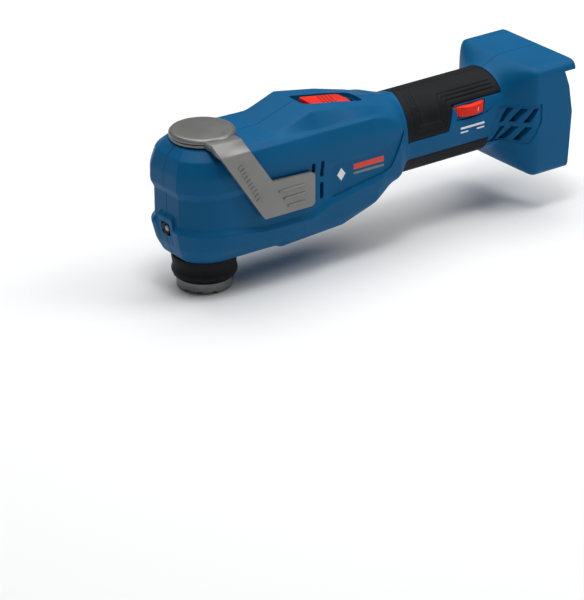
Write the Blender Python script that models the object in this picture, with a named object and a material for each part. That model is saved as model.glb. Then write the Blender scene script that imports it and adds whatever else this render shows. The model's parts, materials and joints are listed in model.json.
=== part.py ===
"""Cordless oscillating multi tool, modelled as the separate pieces it comes apart into.

Drawing frame: millimetres, +X runs from the spindle back to the battery foot, +Z is up and the
spindle axis is x = y = 0. The tool holder's lower face is z = 0. The empty "tool_frame" carries
every piece and shifts the drawing frame so that the world origin lies under the middle of the tool.
"""

import math

import bmesh
import bpy
from mathutils import Matrix, Vector

MM = 0.001
FIT_GAP = 0.3

# Overall places along the tool
TOOL_FRONT = -29.2
TOOL_REAR = 263.0
SPINDLE_X = -(TOOL_FRONT + TOOL_REAR) / 2
SPLIT_HALF_GAP = 0.15

# Head
HEAD_BOTTOM = 22.0
FACET_HALF_ANGLE = 25.0

# Handle and foot
GRIP_EXPONENT = 2.25
HANDLE_START = 142.0
HANDLE_END = 215.0
HANDLE_MID_Z = 64.9
HANDLE_HALF_WIDTH = 24.0
HANDLE_HALF_HEIGHT = 26.4
FOOT_START = 233.0
FOOT_CORNER = 5.0
FOOT_HALF_WIDTH = 38.5
FOOT_BOTTOM = 24.0
FOOT_TOP = 97.0
WALL = 3.2
CAVITY_EXPONENT = 3
HEAD_CAVITY = 27.2
BODY_CAVITY = 27.4
BODY_CAVITY_KEEL = ((0, HEAD_BOTTOM + WALL), (84, 25.8), (96, 29.4), (112, 34.4), (128, 42.6))
GRIP_DEPTH = 1.9
GRIP_BED = 2.6
GRIP_BED_WALL = 1.8
GRIP_EDGE_GAP = 0.45

# Drive train
MOTOR_AXIS_Z = 62.0
STATOR_RADIUS = 21.0
STATOR_FRONT = 49.0
STATOR_REAR = 93.0
WINDING_LENGTH = 4.7
ROTOR_RADIUS = 12.4
SHAFT_RADIUS = 4.0
FAN_BLADES = 9
ECCENTRICITY = 0.88
ECCENTRIC_BEARING_RADIUS = 7.0
FORK_SLOT_HALF = 8.9
SPINDLE_RADIUS = 9.0
SPINDLE_BORE = 6.8
SPINDLE_TOP = 83.0
HOLDER_RADIUS = 17.5
HOLDER_HEIGHT = 6.7
HOLDER_LOBES = 12
BOWL_RADIUS = 13.8
BOWL_DEPTH = 5.3
CLAMP_HOLE_RADIUS = 8.5

# Lever
LEVER_DISC_RADIUS = 20.5
LEVER_TOP = 102.4
LEVER_ARM_HALF_WIDTH = 10.8
LEVER_ARM_OUTER = 35.0
LEVER_ARM_THICKNESS = 2.5
LEVER_TURN = math.radians(100)
CLAMP_TRAVEL = 2.6
CAM_LOW = 84.6
FOLLOWER_GAP = 0.9
SPRING_TURNS = 6

# Work lamp
LENS_RADIUS = 3.6
LENS_Z = 43.7

# Controls
BUTTON_FRONT = 77.0
BUTTON_REAR = 108.0
BUTTON_HALF_WIDTH = 7.5
BUTTON_TILT = math.radians(9.5)
TROUGH_FRONT = 69.6
TROUGH_REAR = 116.5
TROUGH_HALF_WIDTH = 8.6
TROUGH_DEPTH = 2.2
DIAL_X = 190.6
DIAL_Y = -10.0
DIAL_RIBS = 24
DIAL_RADIUS = 16.0
DIAL_BOTTOM = 73.0
DIAL_TOP = 79.3

# Screws that close the two housing halves: (x, z)
SCREWS = ((38.0, 35.0), (37.5, 84.0), (119.0, 43.0), (119.0, 84.0), (146.0, 80.0), (209.0, 55.0))
PILLAR_RADIUS = 3.6
SCREW_RADIUS = 1.5
SCREW_HEAD_RADIUS = 2.7
SCREW_HEAD_SEAT = 14.0
SCREW_GAP = 0.35

# Lines that run along the housing, each as (x, half width, height), from the crown to the keel
HOUSING_LINES = (
    ((0, 0, 96), (40, 0, 94.8), (68, 0, 104), (98, 0, 99.2), (128, 0, 93.4)),
    ((0, 12, 96), (28, 18, 95.4), (40, 19, 94.6), (68, 20.5, 104), (98, 19.5, 99), (128, 17, 91.8)),
    ((0, 22.2, 96), (28, 24.5, 94.8), (48, 24.5, 94.2), (68, 26.8, 93.6), (98, 26, 93.2),
     (128, 22.5, 89.8)),
    ((0, 28.8, 90.8), (16, 29, 92.2), (108, 29, 92), (128, 26, 87)),
    ((0, 32, 81.5), (28, 31.5, 83), (108, 31.5, 83.4), (128, 29.8, 81)),
    ((0, 32.2, 71.5), (24, 31.4, 71.5), (117, 31.4, 71.5), (128, 30, 72)),
    ((0, 29.8, 66.4), (24, 30.5, 66.6), (117, 30.3, 66.8), (124, 30.6, 65.4), (128, 30, 64)),
    ((0, 29.8, 46.2), (24, 30.3, 42), (60, 30.2, 41.8), (73, 30.2, 47.8), (117, 30.3, 55.2),
     (124, 30.5, 53.6), (128, 29.9, 53.4)),
    ((0, 30.3, 45.3), (24, 30.6, 41.2), (60, 30.6, 41), (73, 30.6, 47), (115, 30.7, 54),
     (128, 29.5, 50)),
    ((0, 32.2, 42.9), (24, 32.2, 38.8), (60, 32.2, 38.6), (73, 32.2, 44.6), (115, 31.6, 51.5),
     (128, 28.4, 47)),
    ((0, 29.3, 32), (28, 29.5, 29.5), (88, 29.2, 31), (112, 28.2, 35.4), (128, 23.6, 43)),
    ((0, 25, 25.3), (39, 25.4, 24), (41, 25.4, 22.4), (88, 24.6, 24.4), (112, 22, 30.2),
     (128, 16.5, 39.6)),
    ((0, 20.9, 22), (39, 20.9, 22), (41, 20.9, 20.3), (88, 18, 22.4), (112, 15, 29), (128, 11, 38)),
    ((0, 0, 22), (39, 0, 22), (41, 0, 20.3), (88, 0, 22.4), (112, 0, 29), (128, 0, 37.6)),
)
LINE_COUNT = len(HOUSING_LINES)
LINE_ENDS = HOUSING_LINES[0][-1][0]

# Air vents
MOTOR_VENTS = (60.5, 67.4)
MOTOR_VENT_WIDTH = 2.6
MOTOR_VENT_HEIGHTS = ((49.0, 60.0), (63.6, 74.4))
FOOT_VENT_ROWS = ((61.5, 71.0, (213.5, 219.5, 225.5)), (49.0, 58.5, (209.5, 215.5, 221.5)))
FOOT_VENT_WIDTH = 3.2
FOOT_VENT_LEAN = 0.55

# Stations: negative ones turn round the nose (-2 is the front, -1 the facet's edge, 0 the side)
NOSE_STATIONS = (-2.0, -1.43, -1.15, -1.0, -0.75, -0.5, -0.25)
BODY_STATIONS = (0, 12, 24, 28, 39, 41, 48, 60, 68, 73, 90, 98, 108, 115, 121, 128, 132, 137)
HANDLE_STATIONS = (142, 152, 171, 177, 190, 204, HANDLE_END)
FOOT_STATIONS = (219, 223, 226, 229, FOOT_START, 244, TOOL_REAR)
STATIONS = NOSE_STATIONS + BODY_STATIONS + HANDLE_STATIONS + FOOT_STATIONS


# ---------------------------------------------------------------- numbers and outlines

def mix(a, b, share):
    return a + (b - a) * share


def eased(value, start, end):
    """0 before start, 1 after end, and an S curve between them."""
    share = min(max((value - start) / (end - start), 0.0), 1.0)
    return share * share * (3 - 2 * share)


def along(points, x):
    """Read a polyline of (x, ...) points at x, straight between its points."""
    if x <= points[0][0]:
        return points[0][1:]
    for a, b in zip(points, points[1:]):
        if x <= b[0]:
            share = (x - a[0]) / (b[0] - a[0])
            return tuple(mix(p, q, share) for p, q in zip(a[1:], b[1:]))
    return points[-1][1:]


def superellipse(angle, half_width, up, down, exponent, mid_z):
    """Point of a rounded rectangle-like outline in the direction of angle from its middle."""
    rise = up if math.sin(angle) >= 0 else down
    across = abs(math.cos(angle)) / half_width
    upward = abs(math.sin(angle)) / rise
    radius = (across ** exponent + upward ** exponent) ** (-1 / exponent)
    return max(radius * math.cos(angle), 0.0), mid_z + radius * math.sin(angle)


def line_angle(index):
    return math.pi / 2 - index * math.pi / (LINE_COUNT - 1)


def handle_outline(shrink=0.0):
    """Handle section, or the same section drawn in by shrink."""
    width = HANDLE_HALF_WIDTH - shrink
    height = HANDLE_HALF_HEIGHT - shrink
    return [
        superellipse(line_angle(i), width, height, height, GRIP_EXPONENT, HANDLE_MID_Z)
        for i in range(LINE_COUNT)
    ]


def rounded_box(half_width, low, high, corner):
    """Half outline of a box with round corners, with its points gathered at the corners."""
    soft = corner * (1 - math.sqrt(0.5))
    mid = (low + high) / 2
    top = [(0, high), (half_width * 0.35, high), (half_width * 0.65, high)]
    top += [(half_width - corner, high), (half_width - soft, high - soft), (half_width, high - corner)]
    top.append((half_width, mix(high, mid, 0.6)))
    return top + [(a, low + high - b) for a, b in reversed(top)]


def foot_outline():
    return rounded_box(FOOT_HALF_WIDTH, FOOT_BOTTOM, FOOT_TOP, FOOT_CORNER)


def mixed(first, second, share):
    return [(mix(a[0], b[0], share), mix(a[1], b[1], share)) for a, b in zip(first, second)]


def nose_outline(station):
    """Outline round the nose: the lower band climbs to the front and humps over the lamp."""
    outline = [along(line, 0) for line in HOUSING_LINES]
    turn = 1 - max(station + 1, 0)
    climb = 1.9 * turn
    for i in (7, 8, 9):
        outline[i] = (outline[i][0], outline[i][1] + climb)
    outline[10] = (outline[10][0], outline[10][1] + 1.3 * turn)
    if station < -1.4:
        outline[7] = (outline[7][0], 54.4)
        outline[8] = (outline[8][0], 53.2)
        outline[9] = (outline[9][0], 51.5)
    return outline


def housing_outline(station):
    """Outer outline, as LINE_COUNT (half width, height) points from the crown to the keel."""
    if station < 0:
        return nose_outline(station)
    if station <= LINE_ENDS:
        return [along(line, station) for line in HOUSING_LINES]
    if station <= HANDLE_START:
        neck = [along(line, LINE_ENDS) for line in HOUSING_LINES]
        return mixed(neck, handle_outline(), eased(station, LINE_ENDS, HANDLE_START))
    return mixed(handle_outline(), foot_outline(), eased(station, HANDLE_END, FOOT_START))


def hollow(half_width, crown, keel, mid_z):
    """Squarish inner section that keeps the wall's thickness under the crown and over the keel."""
    return [
        superellipse(line_angle(i), half_width, crown - WALL - mid_z, mid_z - keel, CAVITY_EXPONENT, mid_z)
        for i in range(LINE_COUNT)
    ]


def cavity_outline(station):
    """Inner outline of the housing, along the same lines."""
    crown = along(HOUSING_LINES[0], max(station, 0))[1]
    head = hollow(HEAD_CAVITY, crown, HEAD_BOTTOM + WALL, 60.0)
    body = hollow(BODY_CAVITY, crown, along(BODY_CAVITY_KEEL, station)[0], 62.0)
    handle = handle_outline(GRIP_BED + GRIP_BED_WALL)
    foot = rounded_box(FOOT_HALF_WIDTH - WALL, FOOT_BOTTOM + WALL, FOOT_TOP - WALL, FOOT_CORNER - 1.5)
    if station <= 0:
        return head
    if station <= 115:
        return mixed(head, body, min(station / 28, 1))
    if station <= HANDLE_START:
        return mixed(body, handle, eased(station, 115, 136))
    return mixed(handle, foot, eased(station, HANDLE_END + 2, FOOT_START + 2))


def placed(station, half_width, height):
    """Point of the drawing frame (y counted outward from the middle plane)."""
    if station >= 0:
        return station, half_width, height
    edge = math.radians(FACET_HALF_ANGLE)
    if station <= -1:
        share = station + 2
        return -half_width * math.cos(edge), half_width * math.sin(edge) * share, height
    angle = mix(edge, math.pi / 2, station + 1)
    return -half_width * math.cos(angle), half_width * math.sin(angle), height


def outline_point(outline, line, depth=0.0):
    """Point at a fractional line number, moved inward by depth square to the outline."""
    low = min(int(line), LINE_COUNT - 2)
    share = line - low
    start, end = Vector(outline[low]), Vector(outline[low + 1])
    point = start.lerp(end, share)
    before = outline[max(low - 1, 0)] if share < 1e-6 else outline[low]
    after = outline[low + 1]
    run = Vector(after) - Vector(before)
    inward = Vector((run.y, -run.x)).normalized()
    moved = point + inward * depth
    return max(moved.x, 0.0), moved.y


# ---------------------------------------------------------------- mesh helpers

def start_clean():
    for item in list(bpy.data.objects):
        bpy.data.objects.remove(item)


def material(name, colour, roughness, metallic=0.0):
    made = bpy.data.materials.new(name)
    made.use_nodes = True
    shader = made.node_tree.nodes["Principled BSDF"]
    shader.inputs["Base Color"].default_value = (*colour, 1.0)
    shader.inputs["Roughness"].default_value = roughness
    shader.inputs["Metallic"].default_value = metallic
    made.diffuse_color = (*colour, 1.0)
    return made


def mesh_from(name, points, faces):
    """Closed mesh from points in millimetres; doubled points join and the faces turn outward."""
    mesh = bpy.data.meshes.new(name)
    mesh.from_pydata([tuple(c * MM for c in p) for p in points], [], faces)
    work = bmesh.new()
    work.from_mesh(mesh)
    bmesh.ops.remove_doubles(work, verts=work.verts, dist=0.002 * MM)
    bmesh.ops.dissolve_degenerate(work, edges=work.edges, dist=0.001 * MM)
    bmesh.ops.recalc_face_normals(work, faces=work.faces)
    work.to_mesh(mesh)
    work.free()
    return mesh


def prism(outline, low, high, axis="Z"):
    """Outline of (a, b) points pushed along an axis: (x, y) for Z, (x, z) for Y, (y, z) for X."""
    order = {
        "X": lambda a, b, c: (c, a, b),
        "Y": lambda a, b, c: (a, c, b),
        "Z": lambda a, b, c: (a, b, c),
    }[axis]
    count = len(outline)
    points = [order(a, b, low) for a, b in outline] + [order(a, b, high) for a, b in outline]
    faces = [tuple(range(count)), tuple(range(count, 2 * count))]
    faces += [(i, (i + 1) % count, count + (i + 1) % count, count + i) for i in range(count)]
    return mesh_from("prism", points, faces)


def block(low, high):
    outline = ((low[0], low[1]), (high[0], low[1]), (high[0], high[1]), (low[0], high[1]))
    return prism(outline, low[2], high[2])


def circle(radius, segments, centre=(0.0, 0.0), phase=0.0):
    turn = 2 * math.pi / segments
    return [
        (centre[0] + radius * math.cos(phase + i * turn), centre[1] + radius * math.sin(phase + i * turn))
        for i in range(segments)
    ]


def rod(radius, low, high, centre=(0.0, 0.0), axis="Z", segments=24, phase=0.0):
    return prism(circle(radius, segments, centre, phase), low, high, axis)


def turned(profile, segments=32, axis="Z", centre=(0.0, 0.0)):
    """Closed profile of (radius, distance along the axis) turned a full circle about the axis."""
    order = {"X": lambda a, b, c: (c, a, b), "Z": lambda a, b, c: (a, b, c)}[axis]
    points = []
    for i in range(segments):
        angle = 2 * math.pi * i / segments
        for radius, level in profile:
            points.append(
                order(centre[0] + radius * math.cos(angle), centre[1] + radius * math.sin(angle), level)
            )
    count = len(profile)
    faces = []
    for i in range(segments):
        after = (i + 1) % segments
        for j in range(count):
            k = (j + 1) % count
            faces.append((i * count + j, after * count + j, after * count + k, i * count + k))
    return mesh_from("turned", points, faces)


def ring(inner, outer, low, high, chamfer=0.0, **options):
    """Ring profile with chamfered outer corners, turned about its axis."""
    c = chamfer
    profile = [(inner, low), (outer - c, low), (outer, low + c)]
    profile += [(outer, high - c), (outer - c, high), (inner, high)]
    return turned(profile, **options)


def skin(rows):
    """Closed solid between two matching grids: rows of (outer point, inner point) pairs."""
    width = len(rows[0])
    outer = [pair[0] for row in rows for pair in row]
    inner = [pair[1] for row in rows for pair in row]
    total = len(outer)
    faces = []
    for r in range(len(rows) - 1):
        for c in range(width - 1):
            quad = (r * width + c, r * width + c + 1, (r + 1) * width + c + 1, (r + 1) * width + c)
            faces.append(quad)
            faces.append(tuple(total + i for i in reversed(quad)))
    border = list(range(width))
    border += [r * width + width - 1 for r in range(1, len(rows))]
    border += [(len(rows) - 1) * width + c for c in range(width - 2, -1, -1)]
    border += [r * width for r in range(len(rows) - 2, 0, -1)]
    for a, b in zip(border, border[1:] + border[:1]):
        faces.append((a, b, total + b, total + a))
    return mesh_from("skin", outer + inner, faces)


def combined(target, tool, operation):
    """Boolean of two meshes; both inputs are used up."""
    body = bpy.data.objects.new("body", target)
    other = bpy.data.objects.new("tool", tool)
    for item in (body, other):
        bpy.context.collection.objects.link(item)
    step = body.modifiers.new("cut", "BOOLEAN")
    step.operation = operation
    step.solver = "EXACT"
    step.object = other
    depsgraph = bpy.context.evaluated_depsgraph_get()
    result = bpy.data.meshes.new_from_object(body.evaluated_get(depsgraph))
    for item in (body, other):
        bpy.data.objects.remove(item)
    return result


def cut(target, *tools):
    for tool in tools:
        target = combined(target, tool, "DIFFERENCE")
    return target


def joined(target, *tools):
    for tool in tools:
        target = combined(target, tool, "UNION")
    return target


def cleaned(mesh):
    """Drop the points that a cut leaves on straight edges and flat faces."""
    work = bmesh.new()
    work.from_mesh(mesh)
    bmesh.ops.dissolve_limit(
        work,
        angle_limit=math.radians(0.1),
        verts=work.verts,
        edges=work.edges,
        use_dissolve_boundaries=False,
    )
    bmesh.ops.triangulate(work, faces=work.faces)
    work.to_mesh(mesh)
    work.free()
    return mesh


def node(name, mesh, finish, origin=(0.0, 0.0, 0.0), smooth=True):
    """Named object under the tool frame, with its origin moved to a point in millimetres."""
    shift = Vector(origin) * MM
    mesh.transform(Matrix.Translation(-shift))
    mesh.materials.clear()
    mesh.materials.append(finish)
    if smooth:
        mesh.shade_smooth()
        mesh.set_sharp_from_angle(angle=math.radians(30))
    item = bpy.data.objects.new(name, mesh)
    bpy.context.collection.objects.link(item)
    item.parent = bpy.data.objects["tool_frame"]
    item.location = shift
    return item


# ---------------------------------------------------------------- housing

def half_form(side, outline_of, stations, plane):
    """Closed half of a form on one side of the middle plane, which it meets at y = plane."""
    points = []
    for station in stations:
        for half_width, height in outline_of(station):
            x, y, z = placed(station, half_width, height)
            points.append((x, side * (y if y > max(plane, 0.01) else plane), z))
    width = LINE_COUNT
    rows = len(stations)
    faces = []
    for r in range(rows - 1):
        for c in range(width - 1):
            here = r * width + c
            faces.append((here, here + 1, here + width + 1, here + width))
    body_rows = [r for r in range(rows) if stations[r] >= 0]
    middle_face = [r * width for r in body_rows]
    middle_face += [r * width + width - 1 for r in reversed(body_rows)]
    middle_face += range(width - 2, 0, -1)
    faces.append(tuple(middle_face))
    faces.append(tuple(range((rows - 1) * width, rows * width)))
    return mesh_from("half", points, faces)


def crosswise(radius, start, end, centre):
    """Round bar along Y between two places, whichever comes first."""
    return rod(radius, min(start, end), max(start, end), centre=centre, axis="Y", segments=12)


def pillars(side):
    """Screw pillars that stand from each half's wall to the middle plane."""
    return [crosswise(PILLAR_RADIUS, -2.0 * side, 50.0 * side, spot) for spot in SCREWS]


def stretched(points, grow):
    """The same polyline with both end points pushed outward along it by grow."""
    points = [Vector(p) for p in points]
    first = points[0] + (points[0] - points[1]).normalized() * grow
    last = points[-1] + (points[-1] - points[-2]).normalized() * grow
    return [first] + points[1:-1] + [last]


def grip_patch(side, stations, top_line, bottom_line, depth, proud=0.0, grow=0.0, lean=0.0):
    """Soft skin that follows the housing between two lines and lies depth deep in its surface.

    Its front edge leans back by lean at the first line. proud and grow make the matching cutter.
    """
    steps = 6
    rows = []
    for number, station in enumerate(stations):
        first, last = top_line(station), bottom_line(station - 2 * grow)
        spots = []
        for i in range(steps + 1):
            leaning = lean * (1 - i / steps) ** 2 if number == 0 else 0.0
            outline = housing_outline(station + leaning)
            line = mix(first, last, i / steps)
            outer = outline_point(outline, line, -proud)
            inner = outline_point(outline, line, depth)
            spots.append((station + leaning, outer, inner))
        end_shift = {0: -grow, len(stations) - 1: grow}.get(number, 0.0)
        outer_row = stretched([spot[1] for spot in spots], grow)
        inner_row = stretched([spot[2] for spot in spots], grow)
        row = []
        for i, (spot, outer, inner) in enumerate(zip(spots, outer_row, inner_row)):
            at_middle = (i == 0 and first < 0.01) or (i == steps and last > LINE_COUNT - 1.01)
            x = spot[0] + end_shift
            if at_middle:
                plane = SPLIT_HALF_GAP if grow == 0 else -1.0
                row.append(((x, side * plane, spot[1][1]), (x, side * plane, spot[2][1])))
            else:
                row.append(((x, side * outer.x, outer.y), (x, side * inner.x, inner.y)))
        rows.append(row)
    return skin(rows)


UPPER_GRIP_STATIONS = (139.5, 152.0, 171.0, 174.0, 177.0, 190.0, 204.0, 216.5)
LOWER_GRIP_STATIONS = (99.0, 108.0, 115.0, 121.0, 128.0, 131.0, 134.0, 138.0, 142.0, 171.0, 206.0)


def upper_grip_edge(x):
    return along(((139, 6.3), (171, 6.3), (177, 3.7), (217, 3.7)), x)[0]


def lower_grip_edge(x):
    return along(((99, 12.3), (115, 10.9), (128, 9.6), (137, 8.5), (206, 8.5)), x)[0]


def upper_grip(side, **options):
    return grip_patch(side, UPPER_GRIP_STATIONS, lambda x: 0.0, upper_grip_edge, lean=6.0, **options)


def lower_grip(side, **options):
    return grip_patch(side, LOWER_GRIP_STATIONS, lower_grip_edge, lambda x: LINE_COUNT - 1.0, **options)


def vent_cutters(side):
    """Upright air slots beside the motor and slanted ones on the foot's flared sides."""
    inside = min(18.0 * side, 45.0 * side)
    outside = max(18.0 * side, 45.0 * side)
    outlines = []
    for x in MOTOR_VENTS:
        for low, high in MOTOR_VENT_HEIGHTS:
            left = x - MOTOR_VENT_WIDTH / 2
            right = x + MOTOR_VENT_WIDTH / 2
            outlines.append(((left, low), (right, low), (right, high), (left, high)))
    for low, high, starts in FOOT_VENT_ROWS:
        lean = (high - low) * FOOT_VENT_LEAN
        for x in starts:
            end = x + FOOT_VENT_WIDTH
            outlines.append(((x, low), (end, low), (end + lean, high), (x + lean, high)))
    return [prism(outline, inside, outside, axis="Y") for outline in outlines]


def foot_cutters():
    """Rear edge of the side walls, set back under the top lip, and the battery's open lower end."""
    edge = ((254.4, 91.3), (258.0, 81.0), (260.8, 63.0), (258.5, 32.0))
    edge += ((258.5, 15.0), (275.0, 15.0), (275.0, 91.3))
    return [prism(edge, -60, 60, "Y"), block((247.4, -34.4, 15.0), (270.0, 34.4, 31.0))]


def tilted_block(low, high, tilt, pivot):
    """Block turned about a Y axis through pivot, nose up for a positive tilt."""
    mesh = block(low, high)
    place = Matrix.Translation(Vector(pivot) * MM)
    mesh.transform(place @ Matrix.Rotation(tilt, 4, "Y") @ place.inverted())
    return mesh


BUTTON_PIVOT = (92.5, 0.0, 98.6)


def button_cutters():
    """Trough in the hump's roof that the slide button runs in, and the slot under it."""
    x, _, z = BUTTON_PIVOT
    low = (TROUGH_FRONT, -TROUGH_HALF_WIDTH, z - TROUGH_DEPTH)
    high = (TROUGH_REAR, TROUGH_HALF_WIDTH, z + 12)
    trough = tilted_block(low, high, BUTTON_TILT, BUTTON_PIVOT)
    slot = block((x - 12.0, -4.2, 80.0), (x + 6.0, 4.2, 108.0))
    return [trough, slot]


def housing_half(side):
    """One half shell: outer form, hollow with screw pillars, then the cuts both halves share."""
    cavity = half_form(side, cavity_outline, STATIONS[:-1] + (TOOL_REAR + 2,), -1.0)
    cavity = cut(cavity, *pillars(side))
    shell = half_form(side, housing_outline, STATIONS, SPLIT_HALF_GAP)
    shell = cut(shell, cavity)
    shell = cut(shell, upper_grip(side, depth=GRIP_BED, proud=2.0, grow=GRIP_EDGE_GAP))
    shell = cut(shell, lower_grip(side, depth=GRIP_BED, proud=2.0, grow=GRIP_EDGE_GAP))
    shell = cut(shell, rod(19.4, 15, 33.5, segments=32, phase=0.06))
    shell = cut(shell, rod(9.5, 88, 110, segments=24, phase=0.06))
    shell = cut(shell, block((-40.0, -4.5, 39.5), (-20.0, 4.5, 48.0)))
    shell = cut(shell, *button_cutters())
    shell = cut(shell, *vent_cutters(side))
    shell = cut(shell, *foot_cutters())
    for spot in SCREWS:
        shell = cut(shell, crosswise(SCREW_RADIUS + SCREW_GAP, -3.0 * side, 11.0 * side, spot))
    return shell


def left_housing(finish):
    shell = housing_half(-1)
    window = rod(DIAL_RADIUS + 0.5, DIAL_BOTTOM - 0.4, DIAL_TOP + 0.4, centre=(DIAL_X, DIAL_Y), segments=40)
    frame = ((178.5, 70.6), (203.0, 70.6), (210.0, 74.6), (211.0, 80.4), (180.0, 80.4))
    shell = cut(shell, window, prism(frame, -40.0, -22.4, "Y"))
    node("left_housing_shell", cleaned(shell), finish)


def right_housing(finish):
    shell = housing_half(1)
    for spot in SCREWS:
        well = crosswise(SCREW_HEAD_RADIUS + SCREW_GAP, SCREW_HEAD_SEAT - SCREW_GAP, 50.0, spot)
        bore = crosswise(SCREW_RADIUS + SCREW_GAP, 5.0, SCREW_HEAD_SEAT + 2, spot)
        shell = cut(shell, well, bore)
    node("right_housing_shell", cleaned(shell), finish)


def grips(finish):
    for side, word in ((-1, "left"), (1, "right")):
        node("upper_grip_" + word, upper_grip(side, depth=GRIP_DEPTH), finish)
        node("lower_grip_" + word, lower_grip(side, depth=GRIP_DEPTH), finish)


def housing_screws(finish):
    for number, (x, z) in enumerate(SCREWS, start=1):
        head = crosswise(SCREW_HEAD_RADIUS, SCREW_HEAD_SEAT, SCREW_HEAD_SEAT + 2.2, (x, z))
        shank = crosswise(SCREW_RADIUS, -9.5, SCREW_HEAD_SEAT + 0.5, (x, z))
        socket = prism(circle(1.3, 6, (x, z)), SCREW_HEAD_SEAT + 0.9, SCREW_HEAD_SEAT + 5, "Y")
        mesh = cut(joined(head, shank), socket)
        node("housing_screw_" + str(number), cleaned(mesh), finish, origin=(x, SCREW_HEAD_SEAT, z))


# ---------------------------------------------------------------- head

def gear_case(finish):
    """Cup that holds the lower spindle bearing in its neck and opens round the fork."""
    profile = (
        (17.8, 8.2), (19.0, 8.2), (19.0, 31.5), (20.7, 37.5), (22.4, 44.0), (23.0, 51.5),
        (20.4, 51.5), (19.8, 44.5), (18.0, 38.0), (16.0, 32.0), (12.5, 29.0), (12.5, 20.4), (17.8, 20.4),
    )
    node("gear_case", turned(profile, 28), finish)


def collar_boot(finish):
    """Rubber boot over the case's neck, waisted above its bulging lip."""
    profile = (
        (19.3, 7.9), (18.0, 7.3), (18.4, 7.0), (19.6, 8.7), (20.4, 10.6), (20.3, 12.2),
        (19.8, 14.0), (19.8, 16.5), (20.4, 19.0), (20.4, 21.6), (19.3, 21.6),
    )
    node("collar_boot", turned(profile, 32), finish)


def spindle_bearings(finish):
    node("spindle_lower_bearing", ring(8.5, 17.5, 9.4, 19.9, 0.6, segments=24), finish)
    node("spindle_upper_bearing", ring(9.3, 12.6, 73.6, 81.4, 0.4, segments=24), finish)


def bearing_plate(finish):
    node("upper_bearing_plate", ring(12.9, 22.8, 73.4, 79.2, 1.0, segments=28), finish)


def spindle(finish):
    """Hollow spindle: bearing journal below, collar for the fork, sleeve for the clamp rod."""
    profile = (
        (SPINDLE_BORE, 7.0), (8.2, 7.0), (8.2, 20.2), (11.2, 20.2), (11.2, 22.4), (SPINDLE_RADIUS, 22.4),
        (SPINDLE_RADIUS, SPINDLE_TOP), (SPINDLE_BORE, SPINDLE_TOP),
    )
    node("spindle", turned(profile, 24), finish)


def tool_holder(finish):
    """Steel holder with twelve scallops in its lower edge, a bowl for the blade and a clamp hole."""
    profile = (
        (CLAMP_HOLE_RADIUS, BOWL_DEPTH), (BOWL_RADIUS, BOWL_DEPTH), (BOWL_RADIUS, 0.0),
        (HOLDER_RADIUS - 0.8, 0.0), (HOLDER_RADIUS, 1.2), (HOLDER_RADIUS, HOLDER_HEIGHT),
        (CLAMP_HOLE_RADIUS, HOLDER_HEIGHT),
    )
    mesh = turned(profile, 36)
    for i in range(HOLDER_LOBES):
        angle = 2 * math.pi * (i + 0.5) / HOLDER_LOBES
        dip = rod(2.7, 12.0, 20.0, axis="X", centre=(0.0, -1.1), segments=8)
        dip.transform(Matrix.Rotation(angle, 4, "Z"))
        mesh = cut(mesh, dip)
    node("tool_holder", cleaned(mesh), finish)


def fork(finish):
    """Rocker fork: hub on the spindle and two prongs either side of the eccentric bearing."""
    hub = rod(13.2, 55.0, 69.0, segments=32)
    arms = block((4.0, -FORK_SLOT_HALF - 4.0, 55.5), (36.0, FORK_SLOT_HALF + 4.0, 68.5))
    slot = block((17.0, -FORK_SLOT_HALF, 50.0), (40.0, FORK_SLOT_HALF, 75.0))
    bore = rod(SPINDLE_RADIUS + FIT_GAP, 50.0, 75.0, segments=32)
    node("oscillating_fork", cleaned(cut(joined(hub, arms), slot, bore)), finish)


# ---------------------------------------------------------------- quick clamp

def ramp_fall(angle):
    """Fall of the release cam's lower face with its own angle, twice round."""
    share = (angle % math.pi) / LEVER_TURN
    if share <= 1.0:
        return CLAMP_TRAVEL * share
    back = (angle % math.pi - LEVER_TURN) / (math.pi - LEVER_TURN)
    return CLAMP_TRAVEL * (1 - back)


def release_cam(finish):
    """Shaft under the lever disc; its lower face is a ramp that drives the clamp rod down."""
    segments = 36
    points = []
    for radius in (2.0, 6.2):
        for i in range(segments):
            angle = 2 * math.pi * i / segments
            level = CAM_LOW - ramp_fall(angle)
            points.append((radius * math.cos(angle), radius * math.sin(angle), level))
    for radius in (6.2, 2.0):
        for i in range(segments):
            angle = 2 * math.pi * i / segments
            points.append((radius * math.cos(angle), radius * math.sin(angle), 87.2))
    faces = []
    for layer in range(4):
        below = layer * segments
        above = (layer + 1) % 4 * segments
        for i in range(segments):
            j = (i + 1) % segments
            faces.append((below + i, below + j, above + j, above + i))
    ramp = mesh_from("ramp", points, faces)
    head = rod(9.0, 86.6, 96.7, segments=36)
    node("release_cam", cleaned(joined(head, ramp)), finish, origin=(0, 0, 86.6))


def clamp_rod(finish):
    """Rod down the spindle, with a two-peg follower head under the cam's ramp."""
    head = rod(6.2, 78.4, 80.0, segments=24)
    pegs = prism(((-5.6, -0.7), (5.6, -0.7), (5.6, 0.7), (-5.6, 0.7)), 79.8, CAM_LOW - FOLLOWER_GAP)
    stem = rod(3.0, 33.0, 79.0, segments=20)
    yoke = block((-5.0, -2.8, 30.0), (5.0, 2.8, 36.0))
    mesh = cut(joined(stem, head, yoke, pegs), rod(2.6, 80.0, 90.0, segments=16))
    node("clamp_rod", cleaned(mesh), finish)


def clamp_jaws(finish):
    """Two hooked jaws that hang from the rod's yoke and spread over the blade."""
    for side, word in ((1, "front"), (-1, "rear")):
        outline = ((2.2, 29.6), (5.0, 29.6), (5.0, 4.6), (7.4, 3.6), (7.4, 2.4), (5.6, 1.8), (2.2, 1.8))
        mesh = prism([(-side * a, b) for a, b in outline], -2.8, 2.8, "Y")
        node("clamp_jaw_" + word, mesh, finish, origin=(-side * 3.6, 0, 29.0))


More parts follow.
